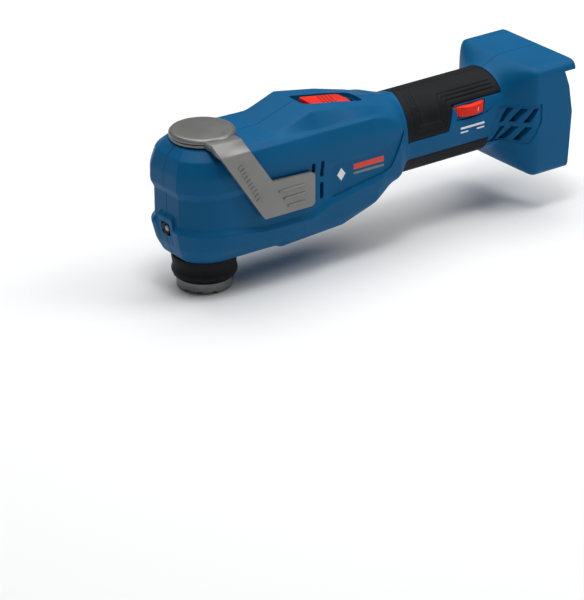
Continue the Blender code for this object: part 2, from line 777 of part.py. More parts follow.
def clamp_spring(finish):
    """Compression spring round the clamp rod, wound from one round wire."""
    steps = 12
    sides = 5
    radius = 4.9
    wire = 0.55
    low = 42.0
    high = 77.4
    points = []
    count = SPRING_TURNS * steps + 1
    for i in range(count):
        angle = 2 * math.pi * i / steps
        middle_z = mix(low, high, i / (count - 1))
        for j in range(sides):
            turn = 2 * math.pi * j / sides
            reach = radius + wire * math.cos(turn)
            level = middle_z + wire * math.sin(turn)
            points.append((reach * math.cos(angle), reach * math.sin(angle), level))
    faces = [tuple(range(sides)), tuple(range((count - 1) * sides, count * sides))]
    for i in range(count - 1):
        for j in range(sides):
            k = (j + 1) % sides
            faces.append((i * sides + j, i * sides + k, (i + 1) * sides + k, (i + 1) * sides + j))
    node("clamp_spring", mesh_from("spring", points, faces), finish)


def lever_cap(finish):
    """Solid disc with a double chamfer round its top."""
    r = LEVER_DISC_RADIUS
    top = LEVER_TOP
    count = 48
    outlines = (
        (circle(r, count), 99.2),
        (circle(r, count), top - 1.6),
        (circle(r - 1.0, count), top - 0.3),
        (circle(r - 2.0, count), top),
    )
    points = [(x, y, level) for outline, level in outlines for x, y in outline]
    faces = [tuple(range(count)), tuple(range(3 * count, 4 * count))]
    for layer in range(3):
        for i in range(count):
            here = layer * count + i
            after = layer * count + (i + 1) % count
            faces.append((here, after, after + count, here + count))
    node("lever_cap", mesh_from("cap", points, faces), finish)


def arc(centre, radius, start, end, steps):
    return [
        (centre[0] + radius * math.cos(math.radians(mix(start, end, i / steps))),
         centre[1] + radius * math.sin(math.radians(mix(start, end, i / steps))))
        for i in range(steps + 1)
    ]


def clamp_lever(finish):
    """Hub plate under the cap, a cranked arm down the head's side and a ribbed paddle."""
    outer = LEVER_ARM_OUTER
    half = LEVER_ARM_HALF_WIDTH
    hub = rod(LEVER_DISC_RADIUS - 0.3, 97.1, 98.9, segments=48)
    bridge_outline = ((-15.0, 97.1), (-15.0, 101.3), (-25.8, 101.3))
    bridge_outline += ((-outer, 95.8), (-outer, 92.4), (-24.6, 97.1))
    bridge = prism(bridge_outline, -half, half, "X")
    corner = ((-half - 9.0, 95.8), (-half, 95.8), (-half + 3.0, 91.7), (-half - 9.0, 91.7))
    bridge = cut(bridge, prism(corner, -outer - 5.0, -20.0, "Y"))
    bridge = cut(bridge, rod(LEVER_DISC_RADIUS + FIT_GAP, 98.9, 110, segments=48))
    plate_outline = [(-half, 95.8), (half, 95.8), (27.4, 71.4)]
    plate_outline += arc((56.0, 67.7), 3.0, 90, 0, 3)
    plate_outline += arc((56.0, 51.4), 3.0, 0, -90, 3)
    plate_outline += arc((22.2, 50.6), 2.0, -90, -150, 2)
    plate = prism(plate_outline, -outer, -outer + LEVER_ARM_THICKNESS, "Y")
    ribs = []
    for z, start in ((64.2, 31.4), (58.7, 35.0), (53.3, 38.1)):
        ribs.append(block((start, -outer - 0.7, z - 0.6), (51.4, -outer + 0.5, z + 0.6)))
    mesh = joined(hub, bridge, plate, *ribs)
    node("clamp_lever", cleaned(mesh), finish, origin=(0, 0, 97.1))


# ---------------------------------------------------------------- motor

AXIS = (0.0, MOTOR_AXIS_Z)
ECCENTRIC_AXIS = (0.0, MOTOR_AXIS_Z + ECCENTRICITY)


def along_shaft(inner, outer, low, high, chamfer=0.0, centre=AXIS):
    """Ring about the motor's axis."""
    return ring(inner, outer, low, high, chamfer, segments=24, axis="X", centre=centre)


def motor_pieces(steel, copper, aluminium, plastic, dark):
    core_front = STATOR_FRONT + 5
    core_rear = STATOR_REAR - 5
    node("stator_core", along_shaft(13.2, STATOR_RADIUS, core_front, core_rear, 0.8), steel)
    for word, low in (("front", STATOR_FRONT), ("rear", STATOR_REAR - WINDING_LENGTH)):
        winding = along_shaft(14.0, 19.0, low, low + WINDING_LENGTH, 1.6)
        node("stator_winding_" + word, winding, copper)
    rotor = along_shaft(SHAFT_RADIUS + FIT_GAP, ROTOR_RADIUS, 52.0, 90.0, 0.8)
    node("rotor", rotor, dark, origin=(52, 0, MOTOR_AXIS_Z))
    shaft = joined(
        rod(SHAFT_RADIUS, 38.2, 113.5, centre=AXIS, axis="X", segments=24),
        rod(3.0, 29.5, 38.8, centre=ECCENTRIC_AXIS, axis="X", segments=24),
    )
    node("motor_shaft", cleaned(shaft), steel, origin=(38.2, 0, MOTOR_AXIS_Z))
    bearing = along_shaft(3.3, ECCENTRIC_BEARING_RADIUS, 29.8, 35.4, 0.5, ECCENTRIC_AXIS)
    node("eccentric_bearing", bearing, steel, origin=(29.8, 0, MOTOR_AXIS_Z))
    weight = joined(
        along_shaft(4.3, 7.0, 39.4, 42.0),
        cut(
            along_shaft(6.0, 11.0, 39.4, 42.0),
            block((30, -20, MOTOR_AXIS_Z - 1), (50, 20, MOTOR_AXIS_Z + 30)),
        ),
    )
    node("counterweight", cleaned(weight), steel, origin=(39.4, 0, MOTOR_AXIS_Z))
    node("motor_front_bearing", along_shaft(4.3, 9.0, 43.2, 48.2, 0.5), steel)
    node("motor_rear_bearing", along_shaft(4.3, 8.0, 108.4, 112.6, 0.5), steel)
    node("motor_mount", along_shaft(9.3, 22.0, 43.0, 48.4, 0.8), aluminium)
    node("rear_bearing_bracket", along_shaft(8.3, 18.0, 108.2, 113.0, 0.8), plastic)


def fan(finish):
    """Radial fan: a back disc with nine blades round its hub."""
    profile = ((4.3, 96.0), (8.0, 96.0), (8.0, 103.6), (19.5, 103.6), (19.5, 105.4), (4.3, 105.4))
    mesh = turned(profile, segments=32, axis="X", centre=AXIS)
    for i in range(FAN_BLADES):
        blade = block((96.8, 7.2, -0.7), (104.2, 18.6, 0.7))
        turn = Matrix.Rotation(2 * math.pi * i / FAN_BLADES, 4, "X")
        blade.transform(Matrix.Translation((0, 0, MOTOR_AXIS_Z * MM)) @ turn)
        mesh = joined(mesh, blade)
    node("cooling_fan", cleaned(mesh), finish, origin=(96, 0, MOTOR_AXIS_Z))


# ---------------------------------------------------------------- controls and electrics

def slide_button(finish):
    """Red slide button with four diagonal grip ribs, and its stem through the roof slot."""
    x, _, z = BUTTON_PIVOT
    low = (BUTTON_FRONT, -BUTTON_HALF_WIDTH, z - 1.8)
    high = (BUTTON_REAR, BUTTON_HALF_WIDTH, z + 0.6)
    plate = tilted_block(low, high, BUTTON_TILT, BUTTON_PIVOT)
    for i in range(4):
        start = 86.5 + 3.0 * i
        outline = ((start, -6.2), (start + 1.4, -6.2), (start + 5.4, 6.2), (start + 4.0, 6.2))
        rib = prism(outline, z + 0.3, z + 1.2)
        place = Matrix.Translation(Vector(BUTTON_PIVOT) * MM)
        rib.transform(place @ Matrix.Rotation(BUTTON_TILT, 4, "Y") @ place.inverted())
        plate = joined(plate, rib)
    stem = block((x - 2.5, -3.4, 92.2), (x + 2.5, 3.4, z))
    node("slide_button", cleaned(joined(plate, stem)), finish, origin=BUTTON_PIVOT)


def switch_body(finish):
    node("switch_body", block((78.0, -9.0, 84.2), (104.0, 9.0, 91.6)), finish, smooth=False)


def speed_dial(finish):
    """Thumb wheel with a knurled rim, on a short hub that drives the potentiometer."""
    count = 2 * DIAL_RIBS
    outline = []
    for i in range(count):
        radius = DIAL_RADIUS - (0.5 if i % 2 else 0.0)
        angle = 2 * math.pi * i / count
        outline.append((DIAL_X + radius * math.cos(angle), DIAL_Y + radius * math.sin(angle)))
    wheel = prism(outline, DIAL_BOTTOM, DIAL_TOP)
    hub = rod(3.0, DIAL_BOTTOM - 2.0, DIAL_BOTTOM + 0.5, centre=(DIAL_X, DIAL_Y), segments=16)
    hollow = rod(11.5, DIAL_BOTTOM + 2.0, DIAL_TOP + 2.0, centre=(DIAL_X, DIAL_Y), segments=24)
    post = rod(4.0, DIAL_BOTTOM + 1.0, DIAL_TOP - 0.5, centre=(DIAL_X, DIAL_Y), segments=16)
    mesh = joined(cut(wheel, hollow), hub, post)
    node("speed_dial", cleaned(mesh), finish, origin=(DIAL_X, DIAL_Y, DIAL_BOTTOM))


def electronics(finish, dark):
    node("control_module", block((124.0, -12.0, 53.0), (202.0, 12.0, 68.2)), finish, smooth=False)
    pot = block((DIAL_X - 5, DIAL_Y - 5, 68.6), (DIAL_X + 5, DIAL_Y + 5, 70.6))
    node("speed_potentiometer", pot, dark, smooth=False)


def work_lamp(lens, board):
    node("lamp_lens", prism(circle(LENS_RADIUS, 20, (0.0, LENS_Z)), -28.4, -25.2, "X"), lens)
    node("lamp_board", block((-24.9, -4.0, 40.0), (-23.7, 4.0, 47.4)), board, smooth=False)


# ---------------------------------------------------------------- battery foot

PLATE_FRONT = 243.0
PLATE_REAR = 246.2


def battery_interface(plastic, brass):
    """Back plate of the bay, two guide rails, the terminal block and its three contacts."""
    half = [(a - 0.35, b) for a, b in cavity_outline(TOOL_REAR)]
    half[0] = (0.0, half[0][1] - 0.35)
    half[-1] = (0.0, half[-1][1] + 0.35)
    right = [(max(a, 0.0), mix(60.5, b, 0.99)) for a, b in half]
    outline = right + [(-a, b) for a, b in reversed(right[1:-1])]
    node("battery_bay_plate", prism(outline, PLATE_FRONT, PLATE_REAR, "X"), plastic, smooth=False)
    for side, word in ((-1, "left"), (1, "right")):
        section = ((27.5, 246.5), (31.0, 246.5), (31.0, 249.6), (33.6, 249.6), (33.6, 252.6), (27.5, 252.6))
        rail = prism([(x, side * y) for y, x in section], 33.0, 84.0)
        node("guide_rail_" + word, rail, plastic, smooth=False)
    base = block((246.5, -16.0, 42.0), (253.0, 16.0, 68.0))
    for y in (-10.0, 0.0, 10.0):
        base = cut(base, block((248.5, y - 1.6, 38.0), (260.0, y + 1.6, 64.0)))
        blade = block((248.9, y - 0.5, 44.0), (252.8, y + 0.5, 63.6))
        word = {-10.0: "negative", 0.0: "signal", 10.0: "positive"}[y]
        node("contact_" + word, blade, brass, smooth=False)
    node("terminal_block", cleaned(base), plastic, smooth=False)


# ---------------------------------------------------------------- assembly

def build():
    start_clean()
    frame = bpy.data.objects.new("tool_frame", None)
    bpy.context.collection.objects.link(frame)
    frame.location = (SPINDLE_X * MM, 0.0, 0.0)

    blue = material("blue_plastic", (0.012, 0.115, 0.235), 0.42)
    grip = material("black_rubber", (0.012, 0.013, 0.015), 0.72)
    black = material("black_plastic", (0.018, 0.019, 0.021), 0.5)
    red = material("red_plastic", (0.80, 0.045, 0.018), 0.38)
    silver = material("satin_nickel", (0.42, 0.42, 0.41), 0.34, 1.0)
    steel = material("ground_steel", (0.56, 0.57, 0.58), 0.28, 1.0)
    aluminium = material("cast_aluminium", (0.60, 0.61, 0.62), 0.45, 1.0)
    copper = material("copper_wire", (0.72, 0.32, 0.14), 0.35, 1.0)
    magnet = material("coated_magnet", (0.10, 0.10, 0.11), 0.4, 0.8)
    brass = material("plated_brass", (0.78, 0.62, 0.30), 0.3, 1.0)
    board = material("circuit_board", (0.02, 0.16, 0.07), 0.55)
    clear = material("clear_lens", (0.82, 0.84, 0.86), 0.12)

    left_housing(blue)
    right_housing(blue)
    grips(grip)
    housing_screws(steel)
    gear_case(aluminium)
    collar_boot(grip)
    spindle_bearings(steel)
    bearing_plate(aluminium)
    spindle(steel)
    tool_holder(silver)
    fork(steel)
    release_cam(steel)
    clamp_rod(steel)
    clamp_jaws(steel)
    clamp_spring(steel)
    lever_cap(silver)
    clamp_lever(silver)
    motor_pieces(steel, copper, aluminium, black, magnet)
    fan(black)
    slide_button(red)
    switch_body(black)
    speed_dial(red)
    electronics(board, black)
    work_lamp(clear, board)
    battery_interface(black, brass)


build()
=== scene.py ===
"""Finished look of the cordless oscillating multi tool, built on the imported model.

Drawing frame of this script: millimetres from the spindle axis (x = y = 0) and the tool
holder's lower face (z = 0), the same as the CAD's; shapes are moved to metres on the way in.
"""

import json
import math

import bmesh
import bpy
from mathutils import Matrix, Vector


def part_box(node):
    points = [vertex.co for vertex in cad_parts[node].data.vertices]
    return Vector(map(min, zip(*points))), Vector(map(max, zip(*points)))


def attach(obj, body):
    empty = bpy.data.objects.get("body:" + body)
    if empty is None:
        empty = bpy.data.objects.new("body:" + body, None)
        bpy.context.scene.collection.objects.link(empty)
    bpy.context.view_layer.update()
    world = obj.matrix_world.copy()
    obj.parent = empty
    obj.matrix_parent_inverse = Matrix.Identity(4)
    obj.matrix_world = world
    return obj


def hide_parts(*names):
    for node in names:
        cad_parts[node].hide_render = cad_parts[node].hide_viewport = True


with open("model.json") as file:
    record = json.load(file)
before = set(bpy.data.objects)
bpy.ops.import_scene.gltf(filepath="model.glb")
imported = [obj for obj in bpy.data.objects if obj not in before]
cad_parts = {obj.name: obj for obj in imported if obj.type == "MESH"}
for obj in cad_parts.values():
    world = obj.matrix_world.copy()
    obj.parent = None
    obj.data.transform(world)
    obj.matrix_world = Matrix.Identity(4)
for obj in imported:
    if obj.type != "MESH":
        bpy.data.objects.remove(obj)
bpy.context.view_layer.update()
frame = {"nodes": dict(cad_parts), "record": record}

MM = 0.001
HOLDER_LOW, HOLDER_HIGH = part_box("tool_holder")
AXIS_X = (HOLDER_LOW.x + HOLDER_HIGH.x) / 2
TO_FRAME = Matrix.Translation((AXIS_X, 0.0, 0.0)) @ Matrix.Scale(MM, 4)
BODY_OF = {n: b for b, members in frame["record"]["behaviour"]["bodies"].items() for n in members}
SLOT_OF = {part["node"]: part["material_slot"] for part in frame["record"]["subparts"]}


# ---------------------------------------------------------------- housing form

LINES = (
    ((0, 0, 96), (40, 0, 94.8), (68, 0, 104), (98, 0, 99.2), (128, 0, 93.4)),
    ((0, 12, 96), (28, 18, 95.4), (40, 19, 94.6), (68, 20.5, 104), (98, 19.5, 99), (128, 17, 91.8)),
    ((0, 22.2, 96), (28, 24.5, 94.8), (48, 24.5, 94.2), (68, 26.8, 93.6), (98, 26, 93.2),
     (128, 22.5, 89.8)),
    ((0, 28.8, 90.8), (16, 29, 92.2), (108, 29, 92), (128, 26, 87)),
    ((0, 32, 81.5), (28, 31.5, 83), (108, 31.5, 83.4), (128, 29.8, 81)),
    ((0, 32.2, 71.5), (24, 31.4, 71.5), (117, 31.4, 71.5), (128, 30, 72)),
    ((0, 29.8, 66.4), (24, 30.5, 66.6), (117, 30.3, 66.8), (124, 30.6, 65.4), (128, 30, 64)),
    ((0, 29.8, 46.2), (24, 30.3, 42), (60, 30.2, 41.8), (73, 30.2, 47.8), (117, 30.3, 55.2),
     (124, 30.5, 53.6), (128, 29.9, 53.4)),
    ((0, 30.3, 45.3), (24, 30.6, 41.2), (60, 30.6, 41), (73, 30.6, 47), (115, 30.7, 54),
     (128, 29.5, 50)),
    ((0, 32.2, 42.9), (24, 32.2, 38.8), (60, 32.2, 38.6), (73, 32.2, 44.6), (115, 31.6, 51.5),
     (128, 28.4, 47)),
    ((0, 29.3, 32), (28, 29.5, 29.5), (88, 29.2, 31), (112, 28.2, 35.4), (128, 23.6, 43)),
    ((0, 25, 25.3), (39, 25.4, 24), (41, 25.4, 22.4), (88, 24.6, 24.4), (112, 22, 30.2),
     (128, 16.5, 39.6)),
    ((0, 20.9, 22), (39, 20.9, 22), (41, 20.9, 20.3), (88, 18, 22.4), (112, 15, 29), (128, 11, 38)),
    ((0, 0, 22), (39, 0, 22), (41, 0, 20.3), (88, 0, 22.4), (112, 0, 29), (128, 0, 37.6)),
)
COUNT = len(LINES)
# Rounding of each line's crease on the head, in millimetres
CREASE = (0.0, 1.2, 1.0, 1.1, 2.4, 0.8, 0.4, 0.5, 0.35, 0.8, 2.0, 1.6, 0.9, 0.0)
FACET = math.radians(25)
NECK, HANDLE, HANDLE_END, FOOT, REAR = 128.0, 142.0, 215.0, 233.0, 263.0
HANDLE_HALF_WIDTH, HANDLE_HALF_HEIGHT, HANDLE_MID_Z = 24.0, 26.4, 64.9
FOOT_HALF_WIDTH, FOOT_BOTTOM, FOOT_TOP, FOOT_CORNER = 38.5, 24.0, 97.0, 5.0
SPLIT = 0.15
WALL = 3.2
# Length over which a crease melts into the smooth handle, and the longest share of a side it takes
SMOOTH_REACH = 40.0
CREASE_SHARE = 0.42
GRIP_DEPTH, GRIP_BED, GRIP_EDGE_GAP = 1.9, 2.6, 0.4
SCREWS = ((38.0, 35.0), (37.5, 84.0), (119.0, 43.0), (119.0, 84.0), (146.0, 80.0), (209.0, 55.0))


def mix(a, b, share):
    return a + (b - a) * share


def eased(value, start, end):
    share = min(max((value - start) / (end - start), 0.0), 1.0)
    return share * share * (3 - 2 * share)


def along(points, x):
    if x <= points[0][0]:
        return points[0][1:]
    for a, b in zip(points, points[1:]):
        if x <= b[0]:
            share = (x - a[0]) / (b[0] - a[0])
            return tuple(mix(p, q, share) for p, q in zip(a[1:], b[1:]))
    return points[-1][1:]


def softly(points, x, reach):
    """Polyline read at x with its corners rounded over reach to each side."""
    total = Vector((0.0, 0.0))
    for k in range(-3, 4):
        total += Vector(along(points, x + reach * k / 3))
    return tuple(total / 7)


def superellipse(angle, half_width, up, down, exponent, mid_z):
    rise = up if math.sin(angle) >= 0 else down
    reach = (abs(math.cos(angle)) / half_width) ** exponent + (abs(math.sin(angle)) / rise) ** exponent
    radius = reach ** (-1 / exponent)
    return max(radius * math.cos(angle), 0.0), mid_z + radius * math.sin(angle)


def line_angle(index):
    return math.pi / 2 - index * math.pi / (COUNT - 1)


def handle_outline(shrink=0.0):
    width, height = HANDLE_HALF_WIDTH - shrink, HANDLE_HALF_HEIGHT - shrink
    return [superellipse(line_angle(i), width, height, height, 2.25, HANDLE_MID_Z) for i in range(COUNT)]


def rounded_box(half_width, low, high, corner):
    soft = corner * (1 - math.sqrt(0.5))
    mid = (low + high) / 2
    top = [
        (0, high),
        (half_width * 0.35, high),
        (half_width * 0.65, high),
        (half_width - corner, high),
        (half_width - soft, high - soft),
        (half_width, high - corner),
        (half_width, mix(high, mid, 0.6)),
    ]
    return top + [(a, low + high - b) for a, b in reversed(top)]


def mixed(first, second, share):
    return [(mix(a[0], b[0], share), mix(a[1], b[1], share)) for a, b in zip(first, second)]


def outline_at(station):
    """The 14 crease points of the housing at a station: x, or a turn round the nose below 0."""
    if station < 0:
        outline = [along(line, 0) for line in LINES]
        turn = 1 - max(station + 1, 0)
        for i in (7, 8, 9):
            outline[i] = (outline[i][0], outline[i][1] + 1.9 * turn)
        outline[10] = (outline[10][0], outline[10][1] + 1.3 * turn)
        hump = eased(-station, 1.34, 1.46)
        for i, height in ((7, 54.4), (8, 53.2), (9, 51.5)):
            outline[i] = (outline[i][0], mix(outline[i][1], height, hump))
        return outline
    if station <= NECK:
        return [softly(line, station, min(0.9, station)) for line in LINES]
    if station <= HANDLE:
        neck = [along(line, NECK) for line in LINES]
        return mixed(neck, handle_outline(), eased(station, NECK, HANDLE))
    foot = rounded_box(FOOT_HALF_WIDTH, FOOT_BOTTOM, FOOT_TOP, FOOT_CORNER)
    return mixed(handle_outline(), foot, eased(station, HANDLE_END, FOOT))


def roundness(station):
    """0 where the lines are crisp creases, 1 where they only carry a smooth curve."""
    return eased(station, 120, 140)


def profile(station):
    """Dense outline at a station, as (line number, half width, height) with rounded creases."""
    points = [Vector(p) for p in outline_at(station)]
    smooth = roundness(station)
    spans = [(b - a).length for a, b in zip(points, points[1:])]
    result = []
    for i, corner in enumerate(points):
        wish = mix(CREASE[i], SMOOTH_REACH, smooth)
        if i == 0 or i == COUNT - 1:
            result.append((float(i), corner.x, corner.y))
        else:
            back = min(wish, CREASE_SHARE * spans[i - 1])
            ahead = min(wish, CREASE_SHARE * spans[i])
            a = corner.lerp(points[i - 1], back / spans[i - 1])
            b = corner.lerp(points[i + 1], ahead / spans[i])
            first, last = i - back / spans[i - 1], i + ahead / spans[i]
            for k in range(5):
                t = k / 4
                spot = a * (1 - t) ** 2 + corner * 2 * t * (1 - t) + b * t * t
                result.append((mix(first, last, t), spot.x, spot.y))
        if i < COUNT - 1:
            longest = CREASE_SHARE * spans[i]
            next_wish = mix(CREASE[i + 1], SMOOTH_REACH, smooth)
            edge = 0.0 if i == 0 else min(wish, longest) / spans[i]
            far = 1.0 if i == COUNT - 2 else 1 - min(next_wish, longest) / spans[i]
            for k in (1, 2):
                share = mix(edge, far, k / 3)
                spot = points[i].lerp(points[i + 1], share)
                result.append((i + share, spot.x, spot.y))
    return result


def surface(dense, line, depth=0.0):
    """Point of a dense outline at a fractional line number, moved inward by depth."""
    low = 0
    while low < len(dense) - 2 and dense[low + 1][0] < line:
        low += 1
    a, b = dense[low], dense[low + 1]
    share = 0.0 if b[0] == a[0] else min(max((line - a[0]) / (b[0] - a[0]), 0.0), 1.0)
    before, after = dense[max(low - 1, 0)], dense[min(low + 2, len(dense) - 1)]
    run = Vector((after[1] - before[1], after[2] - before[2]))
    if run.length < 1e-9:
        run = Vector((b[1] - a[1], b[2] - a[2]))
    inward = Vector((run.y, -run.x)).normalized()
    spot = Vector((mix(a[1], b[1], share), mix(a[2], b[2], share))) + inward * depth
    return max(spot.x, 0.0), spot.y


def placed(station, half_width, height):
    """Point in the drawing frame; the nose's flat front and its turn lie below station 0."""
    if station >= 0:
        return station, half_width, height
    if station <= -1:
        share = station + 2
        return -half_width * math.cos(FACET), half_width * math.sin(FACET) * share, height
    angle = mix(FACET, math.pi / 2, station + 1)
    return -half_width * math.cos(angle), half_width * math.sin(angle), height


def cavity_at(station):
    """Outline of the hollow inside the housing, with as many points as the outside has lines."""
    crown = along(LINES[0], max(station, 0))[1]
    keel = along(((0, 25.2), (84, 25.8), (96, 29.4), (112, 34.4), (128, 42.6)), station)[0]
    head = [superellipse(line_angle(i), 27.2, crown - WALL - 60, 34.8, 3, 60) for i in range(COUNT)]
    body = [superellipse(line_angle(i), 27.4, crown - WALL - 62, 62 - keel, 3, 62) for i in range(COUNT)]
    foot = rounded_box(FOOT_HALF_WIDTH - WALL, FOOT_BOTTOM + WALL, FOOT_TOP - WALL, 3.5)
    handle = handle_outline(GRIP_BED + 1.8)
    if station <= 0:
        return head
    if station <= 115:
        return mixed(head, body, min(station / 28, 1))
    if station <= HANDLE:
        return mixed(body, handle, eased(station, 115, 136))
    return mixed(handle, foot, eased(station, HANDLE_END + 2, FOOT + 2))


# ---------------------------------------------------------------- mesh helpers

def mesh_from(points, faces, name="form"):
    mesh = bpy.data.meshes.new(name)
    mesh.from_pydata([tuple(p) for p in points], [], faces)
    work = bmesh.new()
    work.from_mesh(mesh)
    bmesh.ops.remove_doubles(work, verts=work.verts, dist=0.002)
    bmesh.ops.dissolve_degenerate(work, edges=work.edges, dist=0.001)
    bmesh.ops.recalc_face_normals(work, faces=work.faces)
    work.to_mesh(mesh)
    work.free()
    return mesh


PLACE_ON_AXIS = {
    "X": lambda a, b, c: (c, a, b),
    "Y": lambda a, b, c: (a, c, b),
    "Z": lambda a, b, c: (a, b, c),
}


def prism(outline, low, high, axis="Z"):
    order = PLACE_ON_AXIS[axis]
    count = len(outline)
    points = [order(a, b, low) for a, b in outline] + [order(a, b, high) for a, b in outline]
    faces = [tuple(range(count)), tuple(range(count, 2 * count))]
    faces += [(i, (i + 1) % count, count + (i + 1) % count, count + i) for i in range(count)]
    return mesh_from(points, faces)


def block(low, high):
    outline = ((low[0], low[1]), (high[0], low[1]), (high[0], high[1]), (low[0], high[1]))
    return prism(outline, low[2], high[2])


def circle(radius, segments, centre=(0.0, 0.0), phase=0.013):
    turn = 2 * math.pi / segments
    return [
        (centre[0] + radius * math.cos(phase + i * turn), centre[1] + radius * math.sin(phase + i * turn))
        for i in range(segments)
    ]


def rod(radius, low, high, centre=(0.0, 0.0), axis="Z", segments=48):
    return prism(circle(radius, segments, centre), low, high, axis)


def turned(points_2d, segments=96, axis="Z", centre=(0.0, 0.0)):
    order = PLACE_ON_AXIS[axis]
    count = len(points_2d)
    points, faces = [], []
    for i in range(segments):
        angle = 2 * math.pi * i / segments
        for radius, level in points_2d:
            across = centre[0] + radius * math.cos(angle)
            upward = centre[1] + radius * math.sin(angle)
            points.append(order(across, upward, level))
        after = (i + 1) % segments
        for j in range(count):
            k = (j + 1) % count
            faces.append((i * count + j, after * count + j, after * count + k, i * count + k))
    return mesh_from(points, faces)


def bevelled(mesh, width, segments=2, angle=35):
    work = bmesh.new()
    work.from_mesh(mesh)
    limit = math.radians(angle)
    edges = [e for e in work.edges if len(e.link_faces) == 2 and e.calc_face_angle() > limit]
    bmesh.ops.bevel(
        work, geom=edges, offset=width, segments=segments, affect="EDGES", profile=0.6, clamp_overlap=True,
    )
    work.to_mesh(mesh)
    work.free()
    return mesh


def together(*meshes):
    """Several meshes in one, side by side."""
    work = bmesh.new()
    for mesh in meshes:
        work.from_mesh(mesh)
    result = bpy.data.meshes.new("together")
    work.to_mesh(result)
    work.free()
    return result


def combined(target, tool, operation):
    """Boolean of two closed meshes, given back as a new mesh."""
    body = bpy.data.objects.new("body", target)
    other = bpy.data.objects.new("tool", tool)
    for item in (body, other):
        bpy.context.collection.objects.link(item)
    step = body.modifiers.new("cut", "BOOLEAN")
    step.operation = operation
    step.solver = "MANIFOLD"
    step.object = other
    depsgraph = bpy.context.evaluated_depsgraph_get()
    result = bpy.data.meshes.new_from_object(body.evaluated_get(depsgraph))
    for item in (body, other):
        bpy.data.objects.remove(item)
    return result


def cut(target, *tools):
    for tool in tools:
        target = combined(target, tool, "DIFFERENCE")
    return target


def joined(target, *tools):
    for tool in tools:
        target = combined(target, tool, "UNION")
    return target


def piece(name, mesh, finish_used, stands_for=(), body=None, angle=30):
    """Put a finished mesh into the frame, on the body of the CAD node it stands for."""
    mesh.transform(TO_FRAME)
    mesh.materials.clear()
    mesh.materials.append(finish_used)
    mesh.shade_smooth()
    mesh.set_sharp_from_angle(angle=math.radians(angle))
    item = bpy.data.objects.new(name, mesh)
    bpy.context.collection.objects.link(item)
    nodes = (stands_for,) if isinstance(stands_for, str) else tuple(stands_for)
    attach(item, body or BODY_OF[nodes[0]])
    if nodes:
        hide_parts(*nodes)
    return item


# ---------------------------------------------------------------- finishes

def finish(name, colour, roughness, metallic=0.0, grain=0.0, bump=0.0, spread=0.08, coarse=40.0,
           coat=0.0, specular=0.5, rough_spread=0.08, stretch=(1.0, 1.0, 1.0), round_edges=0.0, worn=None):
    """Moulded or metal finish: cloudy colour, varied gloss, a fine grain and softened edges."""
    made = bpy.data.materials.new(name)
    made.use_nodes = True
    tree = made.node_tree
    shader = tree.nodes["Principled BSDF"]
    shader.inputs["Metallic"].default_value = metallic
    shader.inputs["Coat Weight"].default_value = coat
    shader.inputs["Coat Roughness"].default_value = 0.2
    shader.inputs["Specular IOR Level"].default_value = specular
    made.diffuse_color = (*colour, 1.0)

    place = tree.nodes.new("ShaderNodeTexCoord")
    scale = tree.nodes.new("ShaderNodeMapping")
    scale.inputs["Scale"].default_value = stretch
    tree.links.new(place.outputs["Object"], scale.inputs["Vector"])

    cloud = tree.nodes.new("ShaderNodeTexNoise")
    cloud.inputs["Scale"].default_value = coarse
    cloud.inputs["Detail"].default_value = 5.0
    tree.links.new(scale.outputs["Vector"], cloud.inputs["Vector"])
    ramp = tree.nodes.new("ShaderNodeValToRGB")
    low = [max(c * (1 - spread), 0.0) for c in colour]
    high = [min(c * (1 + spread) + 0.002 * (spread > 0), 1.0) for c in colour]
    ramp.color_ramp.elements[0].position = 0.3
    ramp.color_ramp.elements[0].color = (*low, 1.0)
    ramp.color_ramp.elements[1].position = 0.7
    ramp.color_ramp.elements[1].color = (*high, 1.0)
    tree.links.new(cloud.outputs["Fac"], ramp.inputs["Fac"])
    base = ramp.outputs["Color"]

    speck = tree.nodes.new("ShaderNodeTexNoise")
    speck.inputs["Scale"].default_value = max(grain, 400.0)
    speck.inputs["Detail"].default_value = 3.0
    tree.links.new(scale.outputs["Vector"], speck.inputs["Vector"])
    if worn is not None:
        scuff = tree.nodes.new("ShaderNodeValToRGB")
        scuff.color_ramp.elements[0].position = 0.66
        scuff.color_ramp.elements[0].color = (0, 0, 0, 1)
        scuff.color_ramp.elements[1].position = 0.78
        scuff.color_ramp.elements[1].color = (1, 1, 1, 1)
        tree.links.new(cloud.outputs["Fac"], scuff.inputs["Fac"])
        blend = tree.nodes.new("ShaderNodeMix")
        blend.data_type = "RGBA"
        blend.inputs["B"].default_value = (*worn, 1.0)
        tree.links.new(scuff.outputs["Color"], blend.inputs["Factor"])
        tree.links.new(base, blend.inputs["A"])
        base = blend.outputs["Result"]
    tree.links.new(base, shader.inputs["Base Color"])

    gloss = tree.nodes.new("ShaderNodeMapRange")
    gloss.inputs["To Min"].default_value = max(roughness - rough_spread, 0.03)
    gloss.inputs["To Max"].default_value = min(roughness + rough_spread, 1.0)
    tree.links.new(cloud.outputs["Fac"], gloss.inputs["Value"])
    tree.links.new(gloss.outputs["Result"], shader.inputs["Roughness"])

    normal = None
    if round_edges:
        edge = tree.nodes.new("ShaderNodeBevel")
        edge.samples = 4
        edge.inputs["Radius"].default_value = round_edges * MM
        normal = edge.outputs["Normal"]
    if bump:
        relief = tree.nodes.new("ShaderNodeBump")
        relief.inputs["Strength"].default_value = 1.0
        relief.inputs["Distance"].default_value = bump * MM
        tree.links.new(speck.outputs["Fac"], relief.inputs["Height"])
        if normal is not None:
            tree.links.new(normal, relief.inputs["Normal"])
        normal = relief.outputs["Normal"]
    if normal is not None:
        tree.links.new(normal, shader.inputs["Normal"])
    return made


